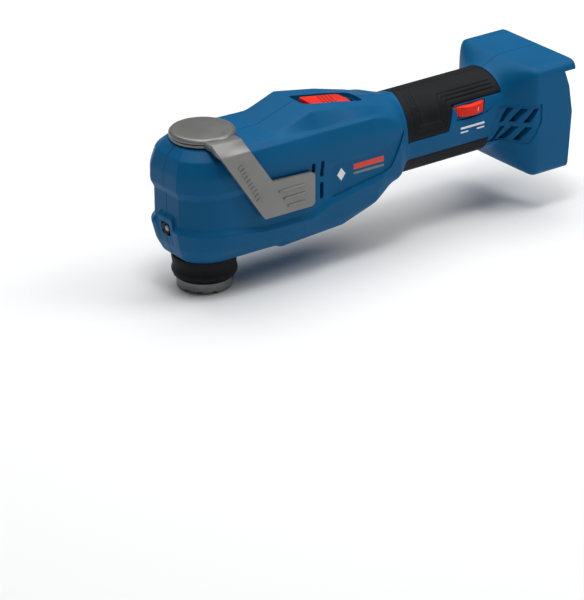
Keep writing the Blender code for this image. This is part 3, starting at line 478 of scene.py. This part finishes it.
BLUE = finish(
    "blue_moulding", (0.0012, 0.096, 0.232), 0.44, grain=2600, bump=0.03, spread=0.05, coarse=28,
    specular=0.10, round_edges=0.3, worn=(0.003, 0.106, 0.25),
)
RUBBER = finish(
    "black_overmould", (0.0065, 0.0072, 0.0088), 0.6, grain=1700, bump=0.08, spread=0.2, coarse=60,
    specular=0.14, round_edges=0.3,
)
BLACK = finish(
    "black_moulding", (0.016, 0.017, 0.019), 0.45, grain=2200, bump=0.04, spread=0.15, round_edges=0.25,
)
RED = finish(
    "red_moulding", (0.80, 0.022, 0.004), 0.42, specular=0.25, grain=1800, bump=0.02, spread=0.06,
    coarse=90, round_edges=0.25,
)
DEEP_RED = finish("red_rib", (0.56, 0.022, 0.008), 0.42, grain=1800, bump=0.02, spread=0.06, coarse=90)
SILVER = finish(
    "blasted_nickel", (0.19, 0.189, 0.184), 0.33, metallic=0.42, grain=3400, bump=0.03, spread=0.07,
    coarse=55, rough_spread=0.07, round_edges=0.3,
)
STEEL = finish(
    "turned_steel", (0.55, 0.56, 0.57), 0.28, metallic=1.0, grain=900, bump=0.02, spread=0.06,
    coarse=120, stretch=(1.0, 1.0, 9.0),
)
CAST = finish(
    "cast_aluminium_skin", (0.56, 0.57, 0.58), 0.5, metallic=1.0, grain=1500, bump=0.08, spread=0.08,
)
COPPER = finish(
    "enamelled_wire", (0.62, 0.24, 0.09), 0.3, metallic=1.0, grain=700, bump=0.25, spread=0.18,
    coarse=300, stretch=(9.0, 1.0, 1.0),
)
MAGNET = finish(
    "coated_laminations", (0.09, 0.09, 0.10), 0.42, metallic=0.7, grain=900, bump=0.06, spread=0.12,
    stretch=(14.0, 1.0, 1.0),
)
BRASS = finish(
    "plated_contacts", (0.78, 0.60, 0.28), 0.25, metallic=1.0, grain=1500, bump=0.02, spread=0.08,
)
BOARD = finish("solder_mask", (0.012, 0.13, 0.05), 0.3, grain=600, bump=0.05, spread=0.35, coarse=420)
PRINT_WHITE = finish(
    "white_print", (0.80, 0.82, 0.84), 0.5, grain=2200, bump=0.01, spread=0.05, coarse=200,
)
PRINT_GREY = finish(
    "grey_print", (0.16, 0.19, 0.22), 0.5, grain=2200, bump=0.01, spread=0.08, coarse=200,
)
PRINT_RED = finish(
    "red_print", (0.72, 0.035, 0.015), 0.45, grain=2200, bump=0.01, spread=0.06, coarse=200,
)
LENS = finish("frosted_lens", (0.30, 0.31, 0.31), 0.16, grain=900, bump=0.01, spread=0.03, coat=0.5)

FINISH_OF_SLOT = {
    "blue_plastic": BLUE,
    "black_rubber": RUBBER,
    "black_plastic": BLACK,
    "red_plastic": RED,
    "satin_nickel": SILVER,
    "ground_steel": STEEL,
    "cast_aluminium": CAST,
    "copper_wire": COPPER,
    "coated_magnet": MAGNET,
    "plated_brass": BRASS,
    "circuit_board": BOARD,
    "clear_lens": LENS,
}
for node_name, item in frame["nodes"].items():
    item.data.materials.clear()
    item.data.materials.append(FINISH_OF_SLOT[SLOT_OF[node_name]])


# ---------------------------------------------------------------- housing shells

def stations_between(start, end, step):
    count = max(int(round((end - start) / step)), 1)
    return [start + (end - start) * i / count for i in range(count)]


# Stations below 0 go round the nose; the others are millimetres behind the spindle axis
NOSE = [-2.0, -1.75, -1.5, -1.46, -1.43, -1.40, -1.37, -1.34, -1.2, -1.02, -1.0]
NOSE += [-0.97, -0.84, -0.72, -0.6, -0.48, -0.36, -0.24, -0.12]
BODY = stations_between(0, 128, 2.0) + stations_between(128, 142, 1.0) + stations_between(142, 213, 4.0)
BODY += stations_between(213, 236, 1.0) + stations_between(236, REAR, 6.0) + [REAR]
COARSE = [-2.0, -1.0, -0.75, -0.5, -0.25, 0, 12, 28, 39, 48, 60, 68, 73, 90, 98, 108, 115, 121]
COARSE += [128, 132, 137, 142, 171, 204, 215, 219, 223, 226, 229, 233, 244, 265]


def half_form(side, rows_2d, stations, plane):
    """Closed half of a form on one side of the middle plane."""
    points = []
    for station, row in zip(stations, rows_2d):
        for half_width, height in row:
            x, y, z = placed(station, half_width, height)
            points.append((x, side * max(y, plane), z))
    width, rows = len(rows_2d[0]), len(stations)
    faces = []
    for r in range(rows - 1):
        for c in range(width - 1):
            faces.append((r * width + c, r * width + c + 1, (r + 1) * width + c + 1, (r + 1) * width + c))
    body_rows = [r for r in range(rows) if stations[r] >= 0]
    flat = [r * width for r in body_rows] + [r * width + width - 1 for r in reversed(body_rows)]
    flat += list(range(width))[-2:0:-1]
    faces.append(tuple(flat))
    faces.append(tuple(range((rows - 1) * width, rows * width)))
    return mesh_from(points, faces)


def skin(rows):
    """Closed solid between two matching grids: rows of (outer point, inner point) pairs."""
    width = len(rows[0])
    outer = [pair[0] for row in rows for pair in row]
    inner = [pair[1] for row in rows for pair in row]
    total = len(outer)
    faces = []
    for r in range(len(rows) - 1):
        for c in range(width - 1):
            quad = (r * width + c, r * width + c + 1, (r + 1) * width + c + 1, (r + 1) * width + c)
            faces.append(quad)
            faces.append(tuple(total + i for i in reversed(quad)))
    border = list(range(width)) + [r * width + width - 1 for r in range(1, len(rows))]
    border += [(len(rows) - 1) * width + c for c in range(width - 2, -1, -1)]
    border += [r * width for r in range(len(rows) - 2, 0, -1)]
    for a, b in zip(border, border[1:] + border[:1]):
        faces.append((a, b, total + b, total + a))
    return mesh_from(outer + inner, faces)


def patch(side, stations, first, last, depth, steps, proud=0.0, grow=0.0, lean=0.0, relief=None):
    """Skin that follows the housing between two lines; relief(x, line) says how deep it sinks."""
    rows = []
    for number, station in enumerate(stations):
        top, bottom = first(station), last(station - 2 * grow)
        at_ends = {0: -grow, len(stations) - 1: grow}.get(number, 0.0)
        row = []
        for i in range(steps + 1):
            share = i / steps
            near = max(1 - number / 10, 0.0)
            x = station + lean * (1 - share) ** 2 * near
            dense = profile(x)
            line = mix(top, bottom, share)
            sink = relief(x, line) if relief else 0.0
            outer = Vector(surface(dense, line, sink - proud))
            inner = Vector(surface(dense, line, depth))
            if grow and i in (0, steps):
                inside = mix(top, bottom, 1 / steps if i == 0 else 1 - 1 / steps)
                push = (outer - Vector(surface(dense, inside, -proud))).normalized() * grow
                outer, inner = outer + push, inner + push
            middle = (i == 0 and top < 0.01) or (i == steps and bottom > COUNT - 1.01)
            plane = SPLIT if grow == 0 else -1.0
            ys = (plane, plane) if middle else (outer.x, inner.x)
            row.append(((x + at_ends, side * ys[0], outer.y), (x + at_ends, side * ys[1], inner.y)))
        rows.append(row)
    return skin(rows)


UPPER_EDGE = ((139, 6.3), (171, 6.3), (177, 3.7), (217, 3.7))
LOWER_EDGE = ((99, 12.3), (115, 10.9), (128, 9.6), (137, 8.5), (206, 8.5))
LINE_PITCH = 5.3


def groove(distance, centre, half_width, depth):
    """Depth of a rounded groove at a distance from the grip's edge."""
    share = abs(distance - centre) / half_width
    return depth * (0.5 + 0.5 * math.cos(math.pi * share)) if share < 1 else 0.0


def upper_relief(x, line):
    """Soft rounded rim and three grooves that run parallel with the stepped lower edge."""
    front = x - 139.5 - 6.0 * (1 - min(line / 6.3, 1.0)) ** 2
    rear = 216.5 - x
    below_left = (6.3 - line) * LINE_PITCH
    below_right = (3.7 - line) * LINE_PITCH
    step = 174.0 - x + (5.0 - line) * 1.6
    lower = max(min(below_left, step), below_right)
    rim = min(front, lower, rear)
    sink = 0.35 * max(0.0, 1 - max(rim, 0.0) / 0.9) ** 2
    field = min(lower, front - 2.5)
    fade = eased(rear, 3.0, 5.0) * eased(line, 0.6, 1.2)
    for centre in (3.2, 5.6, 8.0):
        sink += fade * groove(field, centre, 0.9, 0.6)
    return sink - 0.1


def lower_relief(x, line):
    """Soft rounded rim of the lower grip."""
    rim = min((line - along(LOWER_EDGE, x)[0]) * LINE_PITCH, 206.0 - x, (x - 99.0) * 1.5)
    return 0.35 * max(0.0, 1 - max(rim, 0.0) / 0.9) ** 2 - 0.1


def upper_patch(side, step=0.7, steps=72, **options):
    stations = stations_between(139.5, 171, step) + stations_between(171, 177, min(step, 0.5))
    stations += stations_between(177, 216.5, step) + [216.5]
    return patch(
        side, stations, lambda x: 0.0, lambda x: along(UPPER_EDGE, x)[0], steps=steps, lean=6.0, **options,
    )


def lower_patch(side, step=1.5, steps=30, **options):
    stations = stations_between(99, 206, step) + [206.0]
    return patch(
        side, stations, lambda x: along(LOWER_EDGE, x)[0], lambda x: COUNT - 1.0, steps=steps, **options,
    )


def line_at(x, z):
    """Line number at which the flank stands at height z."""
    dense = profile(x)
    for a, b in zip(dense[14:], dense[15:]):
        if b[2] <= z <= a[2] and a[2] > b[2]:
            return mix(a[0], b[0], (a[2] - z) / (a[2] - b[2]))
    return dense[-1][0]


def flank_recess(side, x0, x1, step, top, bottom, depth):
    """Cutter for a shallow recess between two (x, z) polylines on the flank."""
    return patch(
        side, stations_between(x0, x1, step) + [x1], lambda x: line_at(x, along(top, x)[0]),
        lambda x: line_at(x, along(bottom, x)[0]), depth=depth, steps=14, proud=2.5,
    )


BADGE_TOP = ((73.0, 69.0), (104.0, 69.3), (116.0, 70.5), (125.0, 73.2), (133.5, 78.0))
BADGE_BOTTOM = (
    (73.0, 47.0), (117.0, 54.4), (121.0, 56.4), (124.0, 61.0), (127.0, 66.0), (130.0, 71.5), (133.5, 77.4),
)
VENT_TOP = ((206.0, 60.0), (213.0, 72.6), (236.0, 73.8))
VENT_BOTTOM = ((206.0, 48.4), (228.0, 47.2), (236.0, 61.5))
MOTOR_VENTS = (60.5, 67.4)
MOTOR_VENT_HEIGHTS = ((49.0, 60.0), (63.6, 74.4))
FOOT_VENT_ROWS = ((61.5, 71.0, (213.5, 219.5, 225.5)), (49.0, 58.5, (209.5, 215.5, 221.5)))
FOOT_VENT_WIDTH = 3.2
FOOT_VENT_LEAN = 0.55
BUTTON_TILT = 9.5
DIAL_CENTRE = (190.6, -10.0)
DIAL_RADIUS = 16.0


def tilted(mesh):
    """Turn a mesh to the slope of the slide switch."""
    place = Matrix.Translation((92.5, 0.0, 98.6))
    mesh.transform(place @ Matrix.Rotation(math.radians(BUTTON_TILT), 4, "Y") @ place.inverted())
    return mesh


def rounded_rectangle(x0, x1, y0, y1, corner, steps=5):
    outline = []
    corners = (
        (x1 - corner, y1 - corner, 0),
        (x0 + corner, y1 - corner, 90),
        (x0 + corner, y0 + corner, 180),
        (x1 - corner, y0 + corner, 270),
    )
    for cx, cy, start in corners:
        for k in range(steps + 1):
            angle = math.radians(start + 90 * k / steps)
            outline.append((cx + corner * math.cos(angle), cy + corner * math.sin(angle)))
    return outline


def crosswise(radius, start, end, spot, side=1, segments=24):
    """Rod across the tool at an (x, z) spot, between two distances from the middle on one side."""
    low, high = sorted((start * side, end * side))
    return rod(radius, low, high, centre=spot, axis="Y", segments=segments)


def hollow_form(side):
    """Hollow of one half, with the six screw pillars left standing."""
    hollow = half_form(side, [cavity_at(s) for s in COARSE], COARSE, -1.0)
    return cut(hollow, *[crosswise(3.6, -2.0, 50.0, spot, side) for spot in SCREWS])


def grip_beds(side):
    """Cutters for the beds of the two soft grips."""
    upper = upper_patch(side, step=2.0, steps=26, depth=GRIP_BED, proud=2.0, grow=GRIP_EDGE_GAP)
    lower = lower_patch(side, step=3.0, steps=15, depth=GRIP_BED, proud=2.0, grow=GRIP_EDGE_GAP)
    return [upper, lower]


def head_openings():
    """Cutters for the collar below, the lever's hub above and the lamp in front."""
    collar = rod(19.4, 15, 33.5, segments=64)
    hub = rod(9.5, 88, 110, segments=48)
    lamp_window = prism(rounded_rectangle(-4.5, 4.5, 39.5, 48.0, 1.6), -40.0, -20.0, "X")
    return [collar, hub, lamp_window]


def switch_openings():
    """Cutters for the trough of the slide button and for its stem."""
    trough = prism(rounded_rectangle(69.6, 116.5, -8.6, 8.6, 3.2), 96.4, 112.0)
    return [tilted(bevelled(trough, 0.6, 2, 60)), block((80.5, -4.2, 80.0), (98.5, 4.2, 108.0))]


def flank_recesses(side):
    """Cutters for the shallow fields round the badge and round the foot's air slots."""
    badge = flank_recess(side, 76.0, 133.5, 1.5, BADGE_TOP, BADGE_BOTTOM, 1.0)
    vents = flank_recess(side, 206.0, 236.0, 1.0, VENT_TOP, VENT_BOTTOM, 0.9)
    return [badge, vents]


def motor_vents(side):
    """Cutters for the upright air slots beside the motor."""
    low_y, high_y = sorted((20 * side, 40 * side))
    tools = []
    for x in MOTOR_VENTS:
        for low, high in MOTOR_VENT_HEIGHTS:
            slot = rounded_rectangle(x - 1.3, x + 1.3, low, high, 0.9, 3)
            tools.append(prism(slot, low_y, high_y, "Y"))
    return tools


def foot_vents(side):
    """Cutters for the leaning air slots in the foot."""
    low_y, high_y = sorted((18.0 * side, 45.0 * side))
    tools = []
    for low, high, starts in FOOT_VENT_ROWS:
        lean = (high - low) * FOOT_VENT_LEAN
        for x in starts:
            end = x + FOOT_VENT_WIDTH
            outline = ((x, low), (end, low), (end + lean, high), (x + lean, high))
            tools.append(prism(outline, low_y, high_y, "Y"))
    return tools


def foot_openings():
    """Cutters for the foot's rear edge under its lip and for its open lower side."""
    edge = (
        (254.4, 91.3), (258.0, 81.0), (260.8, 63.0), (258.5, 32.0), (258.5, 15.0), (275.0, 15.0),
        (275.0, 91.3),
    )
    return [prism(edge, -60, 60, "Y"), block((247.4, -34.4, 15.0), (270.0, 34.4, 31.0))]


def screw_bores(side):
    """Cutters for the screws' shanks, and on the right half for the wells of their heads."""
    tools = []
    for spot in SCREWS:
        tools.append(crosswise(1.85, -3.0, 16.0, spot, side))
        if side > 0:
            tools.append(crosswise(3.05, 13.65, 50.0, spot, segments=32))
    return tools


def dial_openings():
    """Cutters for the dial's slot and for the thumb recess round it."""
    window = rod(DIAL_RADIUS + 0.5, 72.6, 79.7, centre=DIAL_CENTRE, segments=96)
    recess = ((178.5, 70.6), (203.0, 70.6), (210.0, 74.6), (211.0, 80.4), (180.0, 80.4))
    return [window, prism(recess, -40.0, -22.4, "Y")]


def shell(side):
    """One half of the housing."""
    rows = [[(p[1], p[2]) for p in profile(s)] for s in NOSE + BODY]
    form = half_form(side, rows, NOSE + BODY, SPLIT)
    form = cut(form, hollow_form(side), *grip_beds(side), *head_openings(), *switch_openings())
    form = cut(form, *flank_recesses(side), *motor_vents(side), *foot_vents(side))
    form = cut(form, *foot_openings(), *screw_bores(side))
    if side < 0:
        form = cut(form, *dial_openings())
    return form


piece("shell_left", shell(-1), BLUE, "left_housing_shell", angle=24)
piece("shell_right", shell(1), BLUE, "right_housing_shell", angle=24)
for side, word in ((-1, "left"), (1, "right")):
    upper = upper_patch(side, depth=GRIP_DEPTH, relief=upper_relief)
    lower = lower_patch(side, depth=GRIP_DEPTH, relief=lower_relief)
    piece("grip_upper_" + word, upper, RUBBER, "upper_grip_" + word, angle=40)
    piece("grip_lower_" + word, lower, RUBBER, "lower_grip_" + word, angle=40)


# ---------------------------------------------------------------- head fittings

def lever_disc():
    """Round cap of the lever, with a softened rim."""
    top, r = 102.4, 20.5
    outline = [
        (0.001, 99.2), (r - 0.3, 99.2), (r, 99.5), (r, top - 1.7), (r - 0.12, top - 1.4),
        (r - 1.0, top - 0.45), (r - 1.25, top - 0.28), (r - 2.0, top - 0.05), (r - 2.4, top), (0.001, top),
    ]
    return turned(outline, 128)


piece("lever_disc", lever_disc(), SILVER, "lever_cap", angle=50)


def arc(centre, radius, start, end, steps):
    return [
        (centre[0] + radius * math.cos(math.radians(mix(start, end, i / steps))),
         centre[1] + radius * math.sin(math.radians(mix(start, end, i / steps))))
        for i in range(steps + 1)
    ]


ARM_HALF_WIDTH = 10.8
ARM_OUTER = 35.0


def lever_bridge():
    """Cranked bridge from the hub plate to the flank, with its lower corner cut away."""
    outline = [
        (-15.0, 97.1), (-15.0, 101.3), (-25.2, 101.3), (-26.3, 100.9), (-34.4, 96.3), (-35.0, 95.3),
        (-35.0, 92.4), (-32.6, 93.2), (-24.6, 97.1),
    ]
    bridge = bevelled(prism(outline, -ARM_HALF_WIDTH, ARM_HALF_WIDTH, "X"), 0.45, 2, 60)
    corner = ((-20.0, 95.8), (-ARM_HALF_WIDTH, 95.8), (-ARM_HALF_WIDTH + 3.0, 91.7), (-20.0, 91.7))
    return cut(bridge, prism(corner, -40.0, -20.0, "Y"), rod(20.8, 98.9, 110, segments=128))


def lever_paddle():
    """Slanting arm and its paddle, with softened edges."""
    outline = [(-ARM_HALF_WIDTH, 95.8), (ARM_HALF_WIDTH, 95.8), (26.2, 73.5)]
    outline += arc((28.6, 74.3), 2.4, 200, 270, 4)
    outline += arc((56.0, 67.7), 3.0, 90, 0, 8)
    outline += arc((56.0, 51.4), 3.0, 0, -90, 8)
    outline += arc((22.2, 50.6), 2.0, -90, -150, 6)
    return bevelled(prism(outline, -ARM_OUTER, -ARM_OUTER + 2.5, "Y"), 0.5, 3, 60)


def paddle_ribs():
    """Three raised ribs for the thumb."""
    ribs = []
    for z, start in ((64.2, 31.4), (58.7, 35.0), (53.3, 38.1)):
        outline = rounded_rectangle(start, 51.4, z - 0.75, z + 0.75, 0.7, 4)
        ribs.append(bevelled(prism(outline, -ARM_OUTER - 0.9, -ARM_OUTER + 0.6, "Y"), 0.5, 3, 60))
    return ribs


def arm_ticks():
    """Row of equal raised ticks down the arm."""
    run = Vector((20.0, -36.0)).normalized()
    across = Vector((run.y, -run.x))
    ticks = []
    for k in range(10):
        spot = Vector((3.2, 87.6)) + run * (3.1 * k)
        corners = [spot + run * a * 0.5 + across * b * 1.7 for a, b in ((-1, -1), (1, -1), (1, 1), (-1, 1))]
        ticks.append(prism([tuple(c) for c in corners], -ARM_OUTER - 0.45, -ARM_OUTER + 0.4, "Y"))
    return ticks


def lever():
    """Hub plate, bridge and paddle in one, with its ribs and ticks."""
    hub = bevelled(rod(20.2, 97.1, 98.9, segments=128), 0.25, 2)
    return joined(hub, lever_bridge(), lever_paddle(), *paddle_ribs(), *arm_ticks())


piece("lever_arm", lever(), SILVER, "clamp_lever", angle=30)


def boot():
    """Soft collar with two shallow folds and a lip that hangs over the holder."""
    outline = [
        (19.3, 7.9), (18.2, 7.35), (18.3, 7.0), (18.9, 7.6), (19.6, 8.7), (20.1, 9.7), (20.4, 10.6),
        (20.45, 11.4), (20.3, 12.2), (20.0, 13.0), (19.8, 14.0), (19.72, 15.2), (19.8, 16.5), (20.1, 17.8),
        (20.35, 19.0), (20.4, 20.2), (20.4, 21.6), (19.3, 21.6),
    ]
    return turned(outline, 96)


piece("boot", boot(), RUBBER, "collar_boot", angle=50)


HOLDER_LOBES = 12


def holder():
    """Steel ring with a bowl below and a scalloped lower edge."""
    outline = [
        (8.5, 5.3), (13.5, 5.3), (13.8, 5.0), (13.8, 0.4), (14.2, 0.0), (16.7, 0.0), (17.2, 0.3),
        (17.5, 1.2), (17.5, 6.3), (17.1, 6.7), (8.5, 6.7),
    ]
    mesh = turned(outline, 144)
    for i in range(HOLDER_LOBES):
        dip = rod(2.7, 12.0, 20.0, axis="X", centre=(0.0, -1.1), segments=40)
        dip.transform(Matrix.Rotation(2 * math.pi * (i + 0.5) / HOLDER_LOBES, 4, "Z"))
        mesh = cut(mesh, dip)
    return mesh


piece("holder_ring", holder(), SILVER, "tool_holder", angle=28)


LENS_CENTRE = (0.0, 43.7)


def lamp_lens():
    """Small domed lens of the work lamp."""
    dome = [(0.001, -27.9), (1.0, -27.8), (1.8, -27.4), (2.3, -26.8), (2.4, -25.3), (0.001, -25.3)]
    return turned(dome, 48, "X", LENS_CENTRE)


def lamp_sleeve():
    """Dark sleeve round the lens."""
    sleeve = [(2.6, -25.2), (2.6, -26.9), (3.0, -27.6), (3.6, -28.2), (3.6, -25.2)]
    return turned(sleeve, 48, "X", LENS_CENTRE)


piece("lamp_dome", lamp_lens(), LENS, "lamp_lens", angle=50)
piece("lamp_sleeve", lamp_sleeve(), BLACK, (), body="housing", angle=50)


def lobed(outer, inner, lobes, centre):
    """Outline with rounded lobes, for a screw's socket."""
    points = []
    for k in range(lobes * 4):
        angle = 2 * math.pi * k / (lobes * 4)
        radius = mix(inner, outer, 0.5 + 0.5 * math.cos(lobes * angle))
        points.append((centre[0] + radius * math.cos(angle), centre[1] + radius * math.sin(angle)))
    return points


def screw(spot):
    """Housing screw with a bevelled head and a lobed socket."""
    head = bevelled(crosswise(2.7, 14.0, 16.2, spot, segments=48), 0.35, 2, 60)
    head = cut(head, prism(lobed(1.5, 1.05, 6, spot), 15.0, 18.0, "Y"))
    return joined(head, crosswise(1.5, -9.5, 14.5, spot))


for number, spot in enumerate(SCREWS, start=1):
    piece("screw_" + str(number), screw(spot), STEEL, "housing_screw_" + str(number))


# ---------------------------------------------------------------- controls

def button():
    """Slide button: a plate with rounded corners, and its stem."""
    outline = rounded_rectangle(77.0, 108.0, -7.5, 7.5, 2.6, 6)
    plate = tilted(bevelled(prism(outline, 96.8, 99.2), 0.5, 3, 60))
    return joined(plate, block((90.0, -3.4, 92.2), (95.0, 3.4, 98.4)))


def button_ribs():
    """Four raised diagonal ribs on the slide button."""
    ribs = []
    for k in range(4):
        start = 86.5 + 3.0 * k
        outline = ((start, -6.2), (start + 1.4, -6.2), (start + 5.4, 6.2), (start + 4.0, 6.2))
        ribs.append(tilted(bevelled(prism(outline, 99.1, 99.75), 0.25, 2, 60)))
    return together(*ribs)


piece("switch_slider", button(), RED, "slide_button", angle=30)
piece("switch_ribs", button_ribs(), DEEP_RED, (), body="switch_button")


DIAL_RIBS = 60
POINTS_PER_RIB = 6


def dial():
    """Thumb wheel with a finely ribbed rim, a hollow and a hub on a short shaft."""
    outline = []
    for i in range(DIAL_RIBS * POINTS_PER_RIB):
        phase = (i % POINTS_PER_RIB) / POINTS_PER_RIB
        angle = 2 * math.pi * i / (DIAL_RIBS * POINTS_PER_RIB)
        radius = DIAL_RADIUS - 0.55 * (0.5 - 0.5 * math.cos(2 * math.pi * phase)) ** 2
        x = DIAL_CENTRE[0] + radius * math.cos(angle)
        y = DIAL_CENTRE[1] + radius * math.sin(angle)
        outline.append((x, y))
    wheel = bevelled(prism(outline, 73.0, 79.3), 0.3, 2, 70)
    wheel = cut(wheel, rod(11.5, 75.0, 81.3, centre=DIAL_CENTRE, segments=64))
    return joined(wheel, rod(3.0, 71.0, 73.5, centre=DIAL_CENTRE), rod(4.0, 74.0, 78.8, centre=DIAL_CENTRE))


piece("dial_wheel", dial(), RED, "speed_dial", angle=40)


def numeral(text, angle_degrees):
    """A digit that stands on the dial's rim."""
    curve = bpy.data.curves.new("digit", "FONT")
    curve.body = text
    curve.size = 4.0
    curve.align_x = "CENTER"
    curve.align_y = "CENTER"
    curve.extrude = 0.12
    curve.resolution_u = 4
    carrier = bpy.data.objects.new("digit", curve)
    bpy.context.collection.objects.link(carrier)
    depsgraph = bpy.context.evaluated_depsgraph_get()
    mesh = bpy.data.meshes.new_from_object(carrier.evaluated_get(depsgraph))
    bpy.data.objects.remove(carrier)
    turn = math.radians(angle_degrees)
    reach = DIAL_RADIUS - 0.02
    x = DIAL_CENTRE[0] + reach * math.cos(turn)
    y = DIAL_CENTRE[1] + reach * math.sin(turn)
    facing = Matrix.Rotation(turn + math.pi / 2, 4, "Z") @ Matrix.Rotation(math.pi / 2, 4, "X")
    mesh.transform(Matrix.Translation((x, y, 76.1)) @ facing)
    return mesh


digits = together(*[numeral(str(k), -78 + 45 * (k - 1)) for k in range(1, 7)])
piece("dial_numbers", digits, PRINT_WHITE, (), body="dial")


# ---------------------------------------------------------------- printed marks on the side

PRINT_THICKNESS = 0.35


def flank_at(x, z):
    """Half width of the housing's flank at a height."""
    dense = profile(x)
    for a, b in zip(dense[21:], dense[22:]):
        if b[2] <= z <= a[2]:
            share = 0.0 if a[2] == b[2] else (z - a[2]) / (b[2] - a[2])
            return mix(a[1], b[1], share)
    return dense[-1][1]


def printed(outline_xz, sunk=0.0, lift=0.1):
    """Thin print on the left flank, laid on the housing's skin or in a field sunk into it."""
    points = [(x, -(flank_at(x, z) - sunk + lift), z) for x, z in outline_xz]
    count = len(points)
    points += [(x, y + PRINT_THICKNESS, z) for x, y, z in points]
    faces = [tuple(range(count)), tuple(range(count, 2 * count))]
    faces += [(i, (i + 1) % count, count + (i + 1) % count, count + i) for i in range(count)]
    return mesh_from(points, faces)


def bar(x0, x1, z0, z1, steps=6):
    """Bar outline with enough points along it to follow the surface."""
    low = [(mix(x0, x1, k / steps), z0) for k in range(steps + 1)]
    high = [(mix(x1, x0, k / steps), z1) for k in range(steps + 1)]
    return low + high


def lozenge(cx, cz, half_width, half_height, steps=5):
    """Lozenge outline with enough points along its sides to follow the surface."""
    corners = [(cx + half_width, cz), (cx, cz + half_height), (cx - half_width, cz), (cx, cz - half_height)]
    outline = []
    for a, b in zip(corners, corners[1:] + corners[:1]):
        outline += [(mix(a[0], b[0], k / steps), mix(a[1], b[1], k / steps)) for k in range(steps)]
    return outline


def mark(name, mesh, finish_used):
    """Printed mark that belongs to the housing."""
    piece(name, mesh, finish_used, (), body="housing")


mark("badge_lozenge", printed(lozenge(83.0, 61.0, 3.2, 4.2), 1.0), PRINT_WHITE)
mark("badge_red_bar", printed(bar(92.5, 116.0, 61.6, 65.4), 1.0), PRINT_RED)
mark("badge_grey_bar", printed(bar(92.5, 116.0, 58.4, 60.0), 1.0), PRINT_GREY)
handle_bars = together(
    printed(bar(181.5, 200.5, 64.6, 66.0)),
    printed(bar(181.5, 187.5, 62.0, 63.0)),
    printed(bar(194.5, 200.5, 62.0, 63.0)),
)
mark("handle_marks", handle_bars, PRINT_WHITE)


# ---------------------------------------------------------------- stage

FLOOR_LEVEL = -0.0006
FLOOR_FINISH = finish(
    "pale_floor", (0.90, 0.90, 0.90), 0.9, spread=0.004, coarse=3.0, specular=0.1, rough_spread=0.02,
)
floor_mesh = bpy.data.meshes.new("floor")
floor_corners = [(-6, -6, FLOOR_LEVEL), (6, -6, FLOOR_LEVEL), (6, 9, FLOOR_LEVEL), (-6, 9, FLOOR_LEVEL)]
floor_mesh.from_pydata(floor_corners, [], [(0, 1, 2, 3)])
floor_mesh.materials.append(FLOOR_FINISH)
floor = bpy.data.objects.new("floor", floor_mesh)
bpy.context.collection.objects.link(floor)
LIGHT_TARGET = Vector((0.0, 0.0, 0.05))


def lamp(name, position, size, power):
    """Square white area light, aimed at the tool."""
    data = bpy.data.lights.new(name, "AREA")
    data.energy = power
    data.size = size
    item = bpy.data.objects.new(name, data)
    bpy.context.collection.objects.link(item)
    item.location = position
    item.rotation_euler = (LIGHT_TARGET - Vector(position)).to_track_quat("-Z", "Y").to_euler()


lamp("key_right", (1.0, -0.62, 1.35), 0.8, 9.5)
lamp("overhead", (-0.28, -0.36, 1.8), 0.5, 9.0)
lamp("soft_top", (0.2, 0.5, 1.9), 2.2, 36.0)

world = bpy.data.worlds.new("studio")
bpy.context.scene.world = world
world.use_nodes = True
backdrop = world.node_tree.nodes["Background"]
backdrop.inputs["Color"].default_value = (0.93, 0.95, 1.0, 1.0)
backdrop.inputs["Strength"].default_value = 0.12
bpy.context.scene.view_settings.view_transform = "Standard"

# ---------------------------------------------------------------- camera

TURN, RISE, ROLL = -0.632686, 0.429125, -0.006381
EYE = Vector((-1161.557, -1674.749, 920.140)) * MM + Vector((AXIS_X, 0.0, 0.0))
back = Vector((math.sin(TURN) * math.cos(RISE), -math.cos(TURN) * math.cos(RISE), math.sin(RISE)))
right = Vector((math.cos(TURN), math.sin(TURN), 0.0))
up = back.cross(right)
across = right * math.cos(ROLL) + up * math.sin(ROLL)
upward = up * math.cos(ROLL) - right * math.sin(ROLL)
camera_data = bpy.data.cameras.new("camera")
camera_data.sensor_width = 36
camera_data.lens = 218.17
camera_data.clip_start = 0.1
camera_data.clip_end = 30
camera = bpy.data.objects.new("camera", camera_data)
bpy.context.collection.objects.link(camera)
camera.matrix_world = Matrix((
    (across.x, upward.x, back.x, EYE.x),
    (across.y, upward.y, back.y, EYE.y),
    (across.z, upward.z, back.z, EYE.z),
    (0.0, 0.0, 0.0, 1.0),
))
bpy.context.scene.camera = camera
